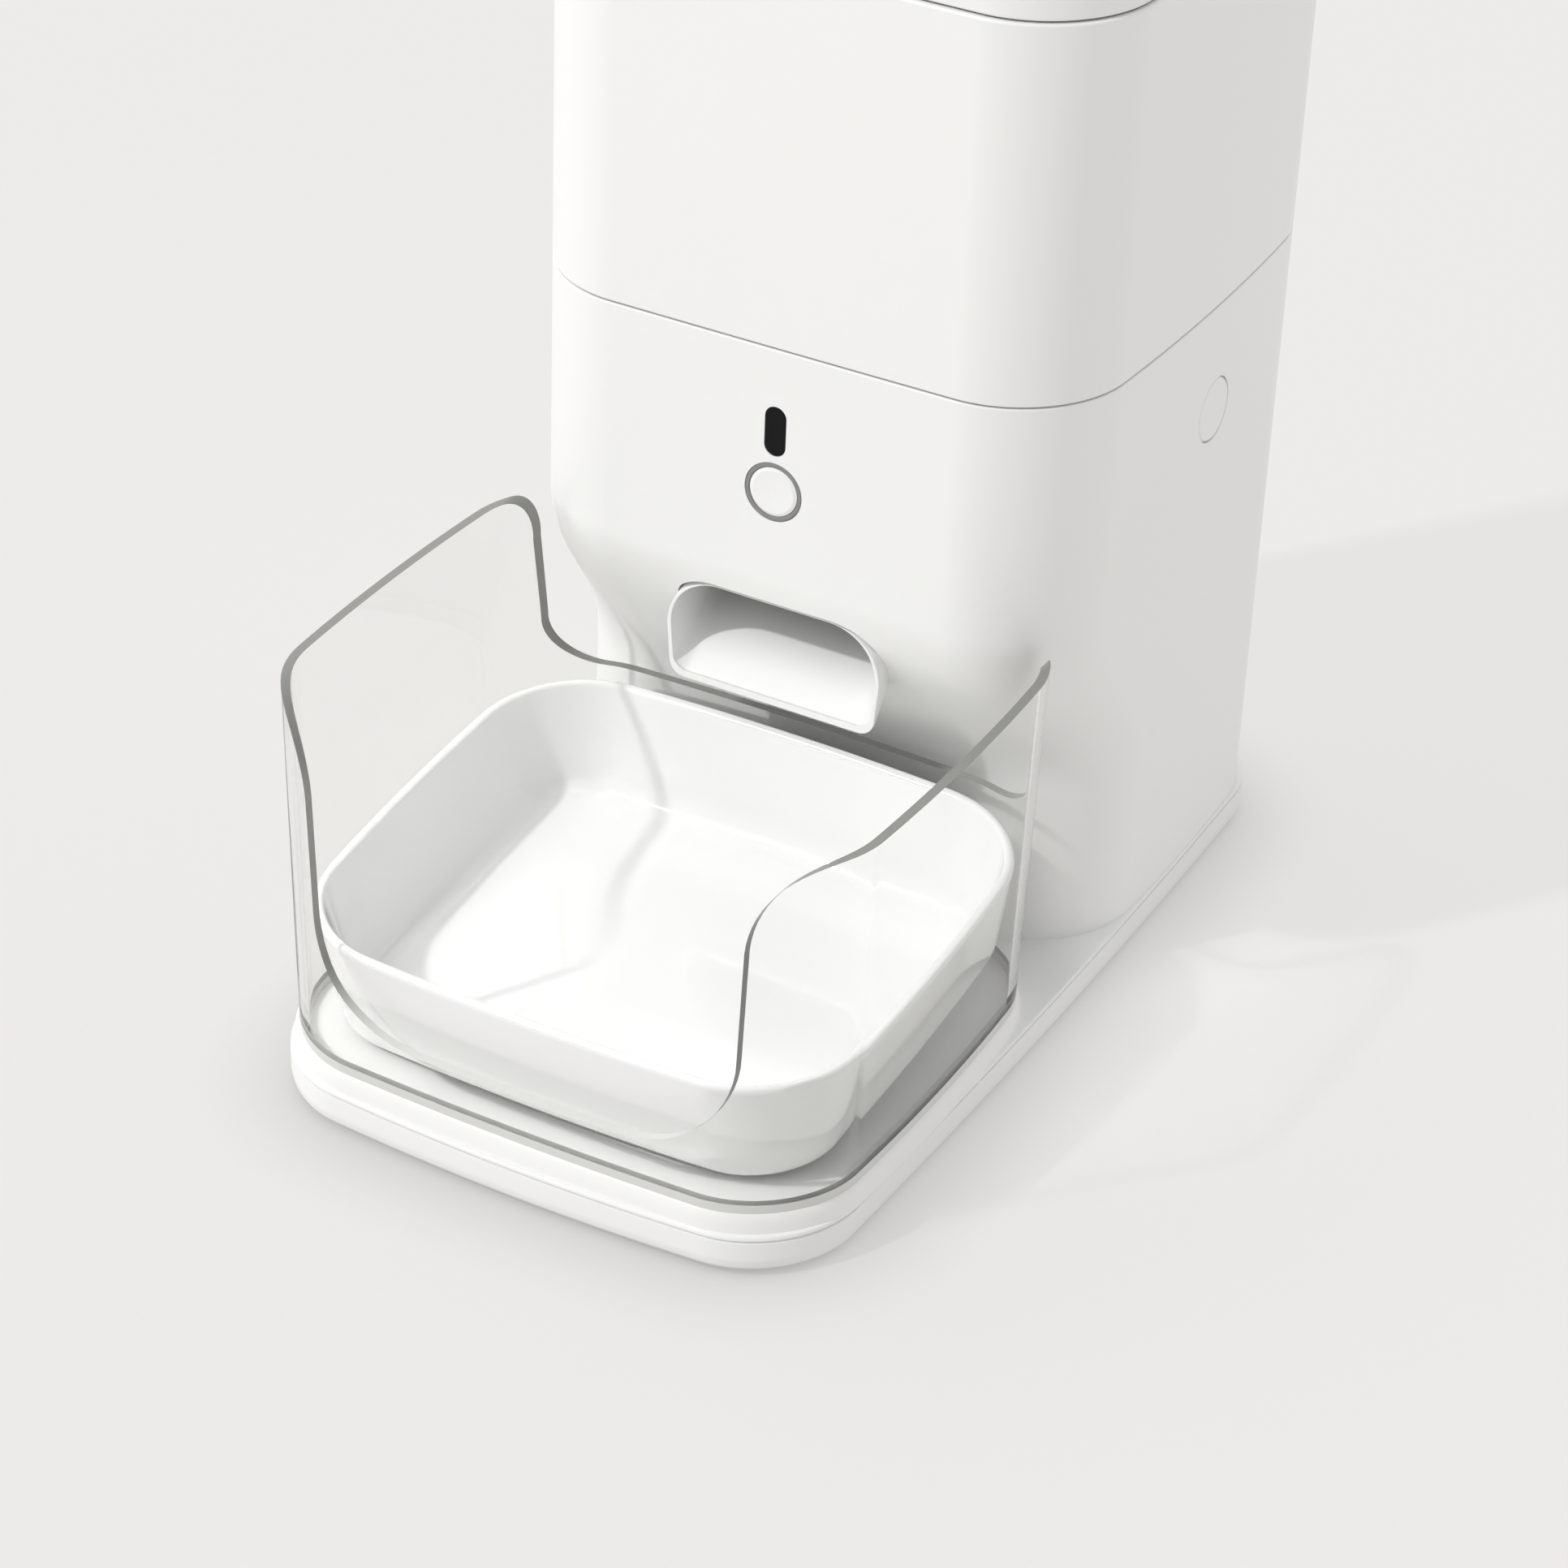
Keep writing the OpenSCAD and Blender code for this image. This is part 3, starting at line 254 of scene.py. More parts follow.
# ---- mesh making ----
def sweep(bm, rings, caps=(True, True), wrap=False, material=0):
    """Draws a ring, then extrudes it through the others, and closes the ends or joins them."""
    key = bm.verts.layers.int.get("place") or bm.verts.layers.int.new("place")
    first = [bm.verts.new(p) for p in rings[0]]
    for k, v in enumerate(first):
        v[key] = k
    n = len(first)
    edges = [bm.edges.new((first[k], first[(k + 1) % n])) for k in range(n)]
    opening, faces = list(edges), []
    for ring in rings[1:]:
        made = bmesh.ops.extrude_edge_only(bm, edges=edges)["geom"]
        new = {g for g in made if isinstance(g, bmesh.types.BMVert)}
        for v in new:
            v.co = ring[v[key]]
        edges = [
            g for g in made
            if isinstance(g, bmesh.types.BMEdge) and g.verts[0] in new and g.verts[1] in new
        ]
        faces += [g for g in made if isinstance(g, bmesh.types.BMFace)]
    if wrap:
        faces += bmesh.ops.bridge_loops(bm, edges=opening + edges)["faces"]
    else:
        for wanted, loop in zip(caps, (opening, edges)):
            if wanted:
                faces += bmesh.ops.edgeloop_fill(bm, edges=loop)["faces"]
    for f in faces:
        f.material_index = material
    return faces


def tidy(bm):
    """Merges points that meet, and points every face outwards."""
    bmesh.ops.remove_doubles(bm, verts=bm.verts, dist=0.0005)
    bmesh.ops.recalc_face_normals(bm, faces=bm.faces)


def turned(profile, place, steps=96):
    """A piece turned on a lathe: profile is (radius, height) pairs, place puts its axis."""
    bm = bmesh.new()
    verts = [bm.verts.new((r, 0, h)) for r, h in profile]
    edges = [bm.edges.new(pair) for pair in zip(verts, verts[1:])]
    if profile[0][0] > 0:
        edges.append(bm.edges.new((verts[-1], verts[0])))
    bmesh.ops.spin(
        bm, geom=verts + edges, cent=(0, 0, 0), axis=(0, 0, 1), angle=2 * math.pi, steps=steps,
        use_merge=True,
    )
    bmesh.ops.transform(bm, matrix=place, verts=bm.verts)
    tidy(bm)
    return bm


def rod(r, start, end, steps=96):
    """A round bar from start to end."""
    start, end = Vector(start), Vector(end)
    long = (end - start).length
    place = Matrix.Translation(start) @ (end - start).to_track_quat("Z", "Y").to_matrix().to_4x4()
    return turned([(0, 0), (r, 0), (r, long), (0, long)], place, steps)


def block(low, high):
    """A box between two corners."""
    bm = bmesh.new()
    low, high = Vector(low), Vector(high)
    place = Matrix.Translation((low + high) / 2) @ Matrix.Diagonal((*(high - low), 1))
    bmesh.ops.create_cube(bm, size=1, matrix=place)
    return bm


def wrapped(points):
    """The smallest skin that holds all the points."""
    bm = bmesh.new()
    for p in points:
        bm.verts.new(p)
    made = bmesh.ops.convex_hull(bm, input=bm.verts)
    inside = made["geom_interior"] + made["geom_unused"]
    spare = [g for g in inside if isinstance(g, bmesh.types.BMVert)]
    bmesh.ops.delete(bm, geom=list(set(spare)), context="VERTS")
    bmesh.ops.dissolve_limit(bm, angle_limit=math.radians(0.05), verts=bm.verts, edges=bm.edges)
    tidy(bm)
    return bm


def on_stage(name, bm):
    """Makes an object of a mesh in progress."""
    mesh = bpy.data.meshes.new(name)
    bm.to_mesh(mesh)
    bm.free()
    obj = bpy.data.objects.new(name, mesh)
    bpy.context.scene.collection.objects.link(obj)
    return obj


def set_modifiers(obj):
    """Puts the result of the modifiers in the mesh."""
    graph = bpy.context.evaluated_depsgraph_get()
    mesh = bpy.data.meshes.new_from_object(obj.evaluated_get(graph), depsgraph=graph)
    obj.modifiers.clear()
    old, obj.data = obj.data, mesh
    bpy.data.meshes.remove(old)


LED_AWAY = 0.3  # cosine between a corner's shading and its face


def square_up(mesh):
    """Turns each corner's shading back to its own face where the smoothing has led it away."""
    normals = [n.vector.copy() for n in mesh.corner_normals]
    for face in mesh.polygons:
        for corner in face.loop_indices:
            if normals[corner].dot(face.normal) < LED_AWAY:
                normals[corner] = face.normal.copy()
    mesh.normals_split_custom_set(normals)


def carve(obj, tools, operation="DIFFERENCE"):
    """Cuts the tools' shapes out of obj, or joins them to it."""
    made = []
    for i, bm in enumerate(tools):
        tool = on_stage(f"{obj.name}_tool_{i}", bm)
        for m in obj.data.materials:
            tool.data.materials.append(m)
        modifier = obj.modifiers.new(f"cut_{i}", "BOOLEAN")
        modifier.solver = "EXACT"
        modifier.operation = operation
        modifier.object = tool
        made.append(tool)
    set_modifiers(obj)
    for tool in made:
        mesh = tool.data
        bpy.data.objects.remove(tool)
        bpy.data.meshes.remove(mesh)


def piece(name, bm, materials, body, nodes, tools=(), joins=(), edge=None, sharp=40):
    """A finished piece: carved, its edges rounded, shaded smooth, and in its place on a body."""
    obj = on_stage(name, bm)
    for m in materials:
        obj.data.materials.append(m)
    if joins:
        carve(obj, joins, "UNION")
    if tools:
        carve(obj, tools)
    if edge:
        bevel = obj.modifiers.new("edges", "BEVEL")
        bevel.affect = "EDGES"
        bevel.width = edge
        bevel.segments = 2
        bevel.profile = 0.5
        bevel.material = -1
        bevel.limit_method = "ANGLE"
        bevel.angle_limit = math.radians(45)
        bevel.use_clamp_overlap = True
    obj.data.shade_smooth()
    obj.data.set_sharp_from_angle(angle=math.radians(sharp))
    even = obj.modifiers.new("even", "WEIGHTED_NORMAL")
    even.keep_sharp = True
    even.weight = 60
    set_modifiers(obj)
    square_up(obj.data)
    obj.data.transform(Matrix.Scale(MM, 4))
    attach(obj, body)
    if nodes:
        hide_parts(*nodes)
    return obj


def body_of(node):
    """The moving body that carries a node."""
    for body, nodes in frame["record"]["behaviour"]["bodies"].items():
        if node in nodes:
            return body
    raise KeyError(node)


BROKEN_EDGE = 0.25


def refined(node, material, edge):
    """A moulded or machined copy of a CAD node, with broken edges and round shading."""
    bm = bmesh.new()
    bm.from_mesh(frame["nodes"][node].data)
    bmesh.ops.scale(bm, vec=(1 / MM,) * 3, verts=bm.verts)
    bmesh.ops.remove_doubles(bm, verts=bm.verts, dist=0.002)
    bmesh.ops.dissolve_limit(bm, angle_limit=math.radians(0.5), verts=bm.verts, edges=bm.edges)
    if edge:
        corners = [
            e for e in bm.edges
            if len(e.link_faces) == 2
            and e.calc_face_angle(0) > math.radians(50)
            and e.calc_length() > 3 * edge
        ]
        bmesh.ops.bevel(
            bm, geom=corners, offset=edge, segments=2, profile=0.5, affect="EDGES", material=-1,
            clamp_overlap=True,
        )
    return piece(f"{node}_finished", bm, [material], body_of(node), [node], sharp=32)


# ---- materials ----
class Wire:
    """A number on its way through a material; arithmetic on it adds the nodes."""

    def __init__(self, bench, socket):
        self.bench, self.socket = bench, socket

    def _maths(self, operation, first, second):
        return self.bench.add("ShaderNodeMath", {"operation": operation}, {0: first, 1: second})

    def __add__(self, other):
        return self._maths("ADD", self, other)

    __radd__ = __add__

    def __sub__(self, other):
        return self._maths("SUBTRACT", self, other)

    def __rsub__(self, other):
        return self._maths("SUBTRACT", other, self)

    def __mul__(self, other):
        return self._maths("MULTIPLY", self, other)

    __rmul__ = __mul__

    def __gt__(self, other):
        return self._maths("GREATER_THAN", self, other)


class Bench:
    """Where a material is put together."""

    def __init__(self, name, tree=None):
        if tree is None:
            self.material = bpy.data.materials.new(name)
            self.material.use_nodes = True
            tree = self.material.node_tree
        self.tree = tree
        tree.nodes.clear()

    def add(self, kind, settings=None, inputs=None, out=0):
        """Adds a node: its settings first, then the values or wires of its sockets."""
        node = self.tree.nodes.new(kind)
        for name, value in (settings or {}).items():
            setattr(node, name, value)
        for key, value in (inputs or {}).items():
            if isinstance(value, Wire):
                self.tree.links.new(value.socket, node.inputs[key])
            else:
                node.inputs[key].default_value = value
        return Wire(self, node.outputs[out]) if len(node.outputs) else None

    def place(self, scale=(1, 1, 1)):
        """The place on the piece, stretched by scale."""
        where = self.add("ShaderNodeTexCoord", out="Object")
        return self.add("ShaderNodeMapping", None, {"Vector": where, "Scale": scale})

    def along(self, axis):
        """The place on the piece along one axis: 0, 1 or 2."""
        where = self.add("ShaderNodeTexCoord", out="Object")
        return self.add("ShaderNodeSeparateXYZ", None, {0: where}, out=axis)

    def noise(self, scale, detail=3, where=None):
        return self.add(
            "ShaderNodeTexNoise", None,
            {"Vector": where or self.place(), "Scale": scale, "Detail": detail},
        )

    def fade(self, value, start, end):
        """Goes smoothly from 0 to 1 between start and end."""
        return self.add("ShaderNodeMapRange", {"interpolation_type": "SMOOTHSTEP"},
                        {"Value": value, "From Min": start, "From Max": end})

    def mix(self, share, first, second):
        """A blend of two colours."""
        return self.add(
            "ShaderNodeMix", {"data_type": "RGBA"}, {0: share, 6: first, 7: second}, out=2
        )

    def bump(self, height, strength, distance):
        return self.add(
            "ShaderNodeBump", None, {"Height": height, "Strength": strength, "Distance": distance}
        )

    def principled(self, inputs):
        """The finished material: one Principled shader with these inputs."""
        return self.finish(self.add("ShaderNodeBsdfPrincipled", None, inputs))

    def finish(self, shader):
        self.add("ShaderNodeOutputMaterial", None, {"Surface": shader})
        return self.material


def rgba(c, k=1.0):
    """A colour made k times as bright."""
    return (min(1, c[0] * k), min(1, c[1] * k), min(1, c[2] * k), 1.0)


def moulded(name, c, rough=0.4, grain=1400, grain_depth=0.03, drift=0.012, **fixed):
    """Moulded plastic: a fine spark-eroded grain, and a slow drift of tone and gloss."""
    b = Bench(name)
    slow = b.noise(7, 2)
    fine = b.noise(grain, 2)
    tone = b.mix(slow, rgba(c, 1 - drift), rgba(c, 1 + drift))
    inputs = {
        "Base Color": tone,
        "Roughness": rough - 0.04 + 0.05 * slow + 0.03 * b.noise(60, 2),
        "Normal": b.bump(fine, grain_depth, 0.0002),
    }
    return b.principled({**inputs, **fixed})


def metal(name, c, rough=0.3, along=(1, 1, 60)):
    """Drawn or ground metal with fine lines along one way."""
    b = Bench(name)
    lines = b.noise(90, 4, b.place(scale=along))
    return b.principled({
        "Base Color": b.mix(lines, rgba(c, 0.82), rgba(c, 1.08)),
        "Roughness": rough - 0.07 + 0.16 * lines,
        "Metallic": 1.0,
        "Normal": b.bump(lines, 0.12, 0.0001),
    })


def clear_plastic(name, c):
    """Clear moulded wall with a faint waviness; lamps shine through it, a little dimmed."""
    b = Bench(name)
    wave = b.noise(22, 1)
    wall = b.add(
        "ShaderNodeBsdfPrincipled", None,
        {
            "Base Color": b.mix(b.noise(9, 1), rgba(c, 0.992), rgba(c, 1.005)),
            "Roughness": 0.012,
            "IOR": 1.15,
            "Transmission Weight": 1.0,
            "Normal": b.bump(wave, 0.03, 0.0008),
        },
    )
    through = b.add("ShaderNodeBsdfTransparent", None, {"Color": rgba(c, 0.97)})
    lamp = b.add("ShaderNodeLightPath", out="Is Shadow Ray")
    return b.finish(b.add("ShaderNodeMixShader", None, {0: lamp, 1: wall, 2: through}))


def cut_edge(name, c, low):
    """The guard's cut edge: dark where it runs upright, paler along its low middle."""
    b = Bench(name)
    # painted reflection: low on the guard the edge takes the lighter foot colour, as an up-facing
    # edge would reflect the sky
    rise = b.fade(b.along(2) + 0.002 * b.noise(40, 2), 0.04, 0.058)
    return b.principled({
        "Base Color": b.mix(rise, rgba(low, 1.08), rgba(c)),
        "Roughness": 0.16 + 0.05 * rise,
        "Normal": b.bump(b.noise(500, 2), 0.03, 0.0002),
    })


def chute_plastic(name, c):
    """The shell's plastic, greyer up the duct where food has rubbed it."""
    b = Bench(name)
    # painted shade: the base colour darkens up the duct to stand in for the shade inside it
    painted_shade = b.fade(b.along(1) + 0.003 * b.noise(30, 2), -0.011, 0.012)
    return b.principled({
        "Base Color": b.mix(painted_shade, rgba(c), rgba(c, 0.38)),
        "Roughness": 0.36 + 0.14 * painted_shade,
        "Normal": b.bump(b.noise(1400, 2), 0.03, 0.0002),
    })


def board_lacquer(name):
    """Circuit board: green lacquer over copper tracks and rows of solder pads."""
    b = Bench(name)
    where = b.place(scale=(420, 420, 420))
    tracks = b.add(
        "ShaderNodeTexBrick", {"offset": 0.5},
        {"Vector": where, "Scale": 0.6, "Mortar Size": 0.06, "Color1": (0, 0, 0, 1),
         "Color2": (0, 0, 0, 1), "Mortar": (1, 1, 1, 1)}, out=1,
    )
    dots = b.add("ShaderNodeTexVoronoi", None, {"Vector": where, "Scale": 0.9, "Randomness": 0.25})
    pad = 1 - (dots > 0.2)
    green = b.mix(tracks, (0.012, 0.09, 0.035, 1), (0.03, 0.16, 0.06, 1))
    return b.principled({
        "Base Color": b.mix(pad, green, (0.55, 0.55, 0.52, 1)),
        "Roughness": 0.34 - 0.08 * pad,
        "Metallic": pad,
        "Normal": b.bump(tracks, 0.2, 0.0001),
    })


def cell_wrap(name):
    """Battery foil: a gold body with a dark band towards one end."""
    b = Bench(name)
    band = b.add("ShaderNodeMath", {"operation": "ABSOLUTE"}, {0: b.along(0)}) > 0.0185
    fine = b.noise(300, 2)
    tone = b.mix(fine, (0.62, 0.42, 0.12, 1), (0.72, 0.5, 0.17, 1))
    return b.principled({
        "Base Color": b.mix(band, tone, (0.03, 0.03, 0.032, 1)),
        "Roughness": 0.28 + 0.08 * fine,
        "Metallic": 0.8 - 0.7 * band,
        "Normal": b.bump(fine, 0.05, 0.0001),
    })


FINISH = {}


def finishes():
    """Makes every material once."""
    if FINISH:
        return FINISH
    p = bpy.context.scene.feeder_finishes
    FINISH.update(
        shell=moulded("satin_shell", p.shell, 0.36),
        # the chute's material paints the shade inside the duct into its colour
        chute=chute_plastic("chute_painted_shade", p.shell),
        shell_inner=moulded("moulded_inner", (0.78, 0.78, 0.76), 0.5, 900, 0.06),
        bowl=moulded("gloss_bowl", p.bowl, 0.11, 260, 0.012, 0.006,
                     **{"Coat Weight": 0.6, "Coat Roughness": 0.04}),
        guard=clear_plastic("clear_guard", p.guard),
        # the foot's colour, a little brighter, also serves as the cut edge's painted reflection low
        # on the guard
        guard_edge=cut_edge("guard_cut_edge", p.guard_edge, p.guard_foot),
        guard_foot=moulded("guard_lower_edge", p.guard_foot, 0.2, 500, 0.03, 0.04),
        ring=moulded("frosted_ring", p.ring, 0.42, 900, 0.05),
        window=moulded("dark_window", p.window, 0.3, 400, 0.01,
                       **{"Specular IOR Level": 0.12}),
        rubber=moulded("black_rubber", (0.035, 0.035, 0.036), 0.72, 700, 0.25),
        seal=moulded("grey_seal", (0.34, 0.34, 0.33), 0.62, 700, 0.2),
        paddle=moulded("soft_paddle", (0.24, 0.24, 0.24), 0.58, 600, 0.2),
        black=moulded("black_moulding", (0.02, 0.02, 0.021), 0.42, 900, 0.08),
        acetal=moulded("cream_acetal", (0.78, 0.75, 0.66), 0.3, 800, 0.04, 0.03),
        steel=metal("ground_steel", (0.6, 0.6, 0.62)),
        plated=metal("plated_screw", (0.66, 0.67, 0.69), 0.24, (40, 40, 1)),
        case=metal("motor_case", (0.55, 0.56, 0.58), 0.32, (1, 1, 40)),
        brass=metal("cut_brass", (0.72, 0.5, 0.2), 0.27, (30, 30, 1)),
        board=board_lacquer("board_lacquer"),
        cell=cell_wrap("cell_foil"),
    )
    return FINISH


# ---- the pieces ----
def boxes():
    """The full outlines: half width, front, back and corner radius."""
    s = bpy.context.scene.feeder_sizes
    base = (BASE_HALF, BASE_FRONT, BASE_BACK, s.base_r / MM)
    body = (BODY_HALF, BODY_FRONT, BODY_BACK, s.body_r / MM)
    foot_front = BODY_FRONT + s.undercut / MM
    guard = (BASE_HALF - GUARD_SIDE, BASE_FRONT + GUARD_FRONT, foot_front - GUARD_BACK, GUARD_R)
    return base, body, guard, foot_front


def base_cover():
    """The lower shell of the base: its rounded rim, floor, and pockets for screws and feet."""
    f, (base, _, _, foot_front) = finishes(), boxes()
    low = COVER_LOW.z
    wall = [(COVER_RIM, low), (4.2, low), (2.6, low + 0.25), (1.2, low + 1.2), (0.45, low + 2.4),
            (0.1, low + 3.8), (0, low + 5.2), (0, SEAM_Z - 0.35), (0.12, SEAM_Z - 0.1),
            (0.4, SEAM_Z), (COVER_WALL, SEAM_Z), (COVER_WALL, low + COVER_FLOOR),
            (COVER_RIM, low + COVER_FLOOR)]
    bm = bmesh.new()
    sweep(bm, [outline(inset(base, t), base, BASE_BOW, z) for t, z in wall])
    tidy(bm)
    screws = [(BASE_HALF - 24.5, BASE_FRONT + 37), (BASE_HALF - 16.5, foot_front - 23),
              (BASE_HALF - 30.5, BASE_BACK - 25)]
    feet = [(BASE_HALF - 26.5, BASE_FRONT + 23), (BASE_HALF - 12.5, BASE_BACK - 135),
            (BASE_HALF - 44.5, BASE_BACK - 15)]
    tools = []
    for side in (-1, 1):
        for x, y in screws:
            start, end = (side * x, y, low - OVERRUN), (side * x, y, low + SCREW_DEPTH)
            tools.append(rod(SCREW_R, start, end, 48))
        for x, y in feet:
            start, end = (side * x, y, low - OVERRUN), (side * x, y, low + FOOT_DEPTH)
            tools.append(rod(FOOT_R, start, end, 64))
    piece("base_cover_shell", bm, [f["shell"]], "base", ["base_bottom_cover"],
          tools, edge=0.2)


def bowl_place():
    """Where the tilted bowl sits, half its length, and its middle."""
    s = bpy.context.scene.feeder_sizes
    _, _, guard, _ = boxes()
    tilt = s.bowl_tilt
    half_y = (guard[2] - guard[1]) / 2 - BOWL_END_GAP
    y = (guard[1] + guard[2]) / 2 - BOWL_SHIFT + s.bowl_h / MM * math.sin(tilt)
    z = PLATFORM_Z + BOWL_LIFT + math.tan(tilt) * (half_y - BOWL_TOE)
    return Matrix.Translation((0, y, z)) @ Matrix.Rotation(tilt, 4, "X"), half_y, y


def base_deck():
    """The deck, the shouldered platform on it, and the sloping seat under the bowl."""
    f, (base, _, guard, _) = finishes(), boxes()
    bm = bmesh.new()
    edge = [(6, SEAM_Z + 0.02), (0.7, SEAM_Z + 0.02), (0.7, SEAM_Z + 0.6), (0.3, SEAM_Z + 0.6),
            (0.12, SEAM_Z + 0.75), (0.1, SEAM_Z + 0.95), (0.1, DECK_Z - 0.8), (0.2, DECK_Z - 0.42),
            (0.45, DECK_Z - 0.12), (0.9, DECK_Z), (9, DECK_Z)]
    sweep(bm, [outline(inset(base, t), base, BASE_BOW, z) for t, z in edge])
    tidy(bm)
    rise = PLATFORM_Z - DECK_Z
    shoulder = [(1.9, -1), (1.9, 0.02), (1.82, 0.3 * rise), (1.6, 0.55 * rise), (1.15, 0.78 * rise),
                (0.6, 0.93 * rise), (0.1, 0.99 * rise), (-0.5, rise)]
    platform = bmesh.new()
    sweep(platform, [outline(inset(guard, -t), guard, GUARD_BOW, DECK_Z + h) for t, h in shoulder])
    tidy(platform)
    place, half_y, y = bowl_place()
    seat_y = half_y - SEAT_MARGIN
    seat = block((-SEAT_HALF, y - seat_y, PLATFORM_Z - 1), (SEAT_HALF, y + seat_y, PLATFORM_Z + 40))
    above = block((-200, -200, -SEAT_SINK), (200, 200, 200))
    bmesh.ops.transform(above, matrix=place, verts=above.verts)
    slope = on_stage("seat_slope", seat)
    carve(slope, [above])
    seat = bmesh.new()
    seat.from_mesh(slope.data)
    bpy.data.objects.remove(slope)
    piece("base_deck_shell", bm, [f["shell"]], "base", ["base_top_plate"],
          joins=[platform, seat], sharp=50)


def bowl():
    """The bowl: a foot, a flared wall with a round rim, and a smooth hollow."""
    f = finishes()
    s = bpy.context.scene.feeder_sizes
    place, half_y, _ = bowl_place()
    h, t = s.bowl_h / MM, s.bowl_t / MM
    half_x = BASE_HALF - BOWL_SIDE_GAP
    full = (half_x, -half_y, half_y, BOWL_R)
    wall_out, wall_z, rim_out = 6.4, 7.5, 0.3

    def ring(out, z, ends=1.0):
        box = (half_x - out, ends * out - half_y, half_y - ends * out, BOWL_R - min(out, 16))
        return outline(box, full, BOWL_BOW, z)

    rings = [ring(21, 0), ring(20.3, 0.9), ring(20, 2.2), ring(10.2, 2.5, 0.76),
             ring(8.9, 2.9, 0.72), ring(7.9, 3.8, 0.67), ring(7.1, 5.2, 0.62),
             ring(wall_out, wall_z, 0.6)]
    for i in range(1, 9):
        k = i / 8
        out = wall_out + (rim_out - wall_out) * k ** 0.92
        rings.append(ring(out, wall_z + (h - 2 - wall_z) * k, 0.6 + 0.4 * k))
    for i in range(1, 8):
        a = math.radians(180 * i / 7)
        r = (t - rim_out) / 2
        rings.append(ring(rim_out + r * (1 - math.cos(a)), h - 1.6 + 1.6 * math.sin(a)))
    inner = [(t + 0.5, h - 4), (t + 2.0, h - 11), (t + 3.9, h - 18), (t + 5.8, 17), (t + 7.2, 13),
             (t + 8.9, 10), (t + 11.2, 7.6), (t + 14, 6), (t + 17, 5.2), (t + 20.5, 5)]
    rings += [ring(out, z) for out, z in inner]
    bm = bmesh.new()
    sweep(bm, rings)
    bmesh.ops.transform(bm, matrix=place, verts=bm.verts)
    tidy(bm)
    piece("bowl_glazed", bm, [f["bowl"]], "bowl", ["food_bowl"], sharp=60)


CURVE_STEPS = 15


def edge_curve(low, flat_x, turn, lean_x, top_x, top_h, top_r):
    """Half of the guard's front or back edge: low in the middle, up through an arc, and over."""
    half = [(0, low)]
    for i in range(CURVE_STEPS + 1):
        a = math.radians(90 * i / CURVE_STEPS)
        half.append((flat_x + turn[0] * math.sin(a), low + turn[1] * (1 - math.cos(a))))
    for i in range(CURVE_STEPS + 1):
        a = math.radians(90 * i / CURVE_STEPS)
        half.append((top_x - (top_x - lean_x) * math.cos(a), top_h - top_r * (1 - math.sin(a))))
    return half + [(top_x, top_h + 20), (0, top_h + 20)]


def edge_tool(half, y0, y1):
    """The solid that cuts a guard end along that curve, both sides at once."""
    whole = half[:-1] + [(-x, z) for x, z in reversed(half[1:-1])]
    bm = bmesh.new()
    sweep(bm, [[Vector((x, y, PLATFORM_Z + z)) for x, z in whole] for y in (y0, y1)], material=1)
    tidy(bm)
    return bm


def guard():
    """The clear wall round the bowl, with a dark cut edge and a pale foot."""
    f, (_, _, box, _) = finishes(), boxes()
    s = bpy.context.scene.feeder_sizes
    t, flare = s.guard_t / MM, s.guard_flare / MM
    h = GUARD_HIGH.z - PLATFORM_Z

    def ring(out, z):
        return outline(inset(box, out - flare * z / h), box, GUARD_BOW, PLATFORM_Z + z)

    levels = (GUARD_FOOT, h / 3, 2 * h / 3, h)
    bm = bmesh.new()
    sweep(bm, [ring(0, z) for z in levels] + [ring(t, z) for z in reversed(levels)],
          caps=(False, False))
    for face in bm.faces:
        face.material_index = 1 if face.calc_center_median().z > PLATFORM_Z + h - 0.01 else 0
    sweep(bm, [ring(0, GUARD_FOOT), ring(0, 0), ring(t, 0), ring(t, GUARD_FOOT)],
          caps=(False, False), material=2)
    tidy(bm)
    half, top = box[0], h + 0.01
    front = edge_curve(low=16.5, flat_x=half - 61, turn=(37, 37), lean_x=half - 22.7,
                       top_x=half - 1.2, top_h=top, top_r=30)
    back = edge_curve(low=56.5, flat_x=half - 27, turn=(17, 18), lean_x=half - 8,
                      top_x=half - 2.2, top_h=top, top_r=15.5)
    tools = [edge_tool(front, box[1] - 10, box[1] + 55), edge_tool(back, box[2] - 45, box[2] + 10)]
    piece("guard_clear", bm, [f["guard"], f["guard_edge"], f["guard_foot"]], "guard",
          ["splash_guard"], tools, edge=0.3, sharp=30)


def front_at(z, foot_front):
    """Where the housing's front stands at a height: set back below the chute, forward above."""
    s = bpy.context.scene.feeder_sizes
    return foot_front - s.undercut / MM * smooth_step((z - DECK_Z - SETBACK_Z) / SETBACK_RISE)


MOUTH_STEPS = 12


def mouth(t):
    """The chute's mouth seen from the front, x and height pairs, set in by t."""
    half, high, shoulder, low = MOUTH_HALF, MOUTH_HIGH, MOUTH_SHOULDER, MOUTH_CORNER
    centres = [(half - 1 - low, low, low, -90), (half - shoulder, high - shoulder, shoulder, 0),
               (shoulder - half, high - shoulder, shoulder, 90), (1 + low - half, low, low, 180)]
    points = []
    for cx, cz, r, start in centres:
        for i in range(MOUTH_STEPS + 1):
            a = math.radians(start + 90 * i / MOUTH_STEPS)
            points.append((cx + (r - t) * math.cos(a), cz + (r - t) * math.sin(a)))
    return points


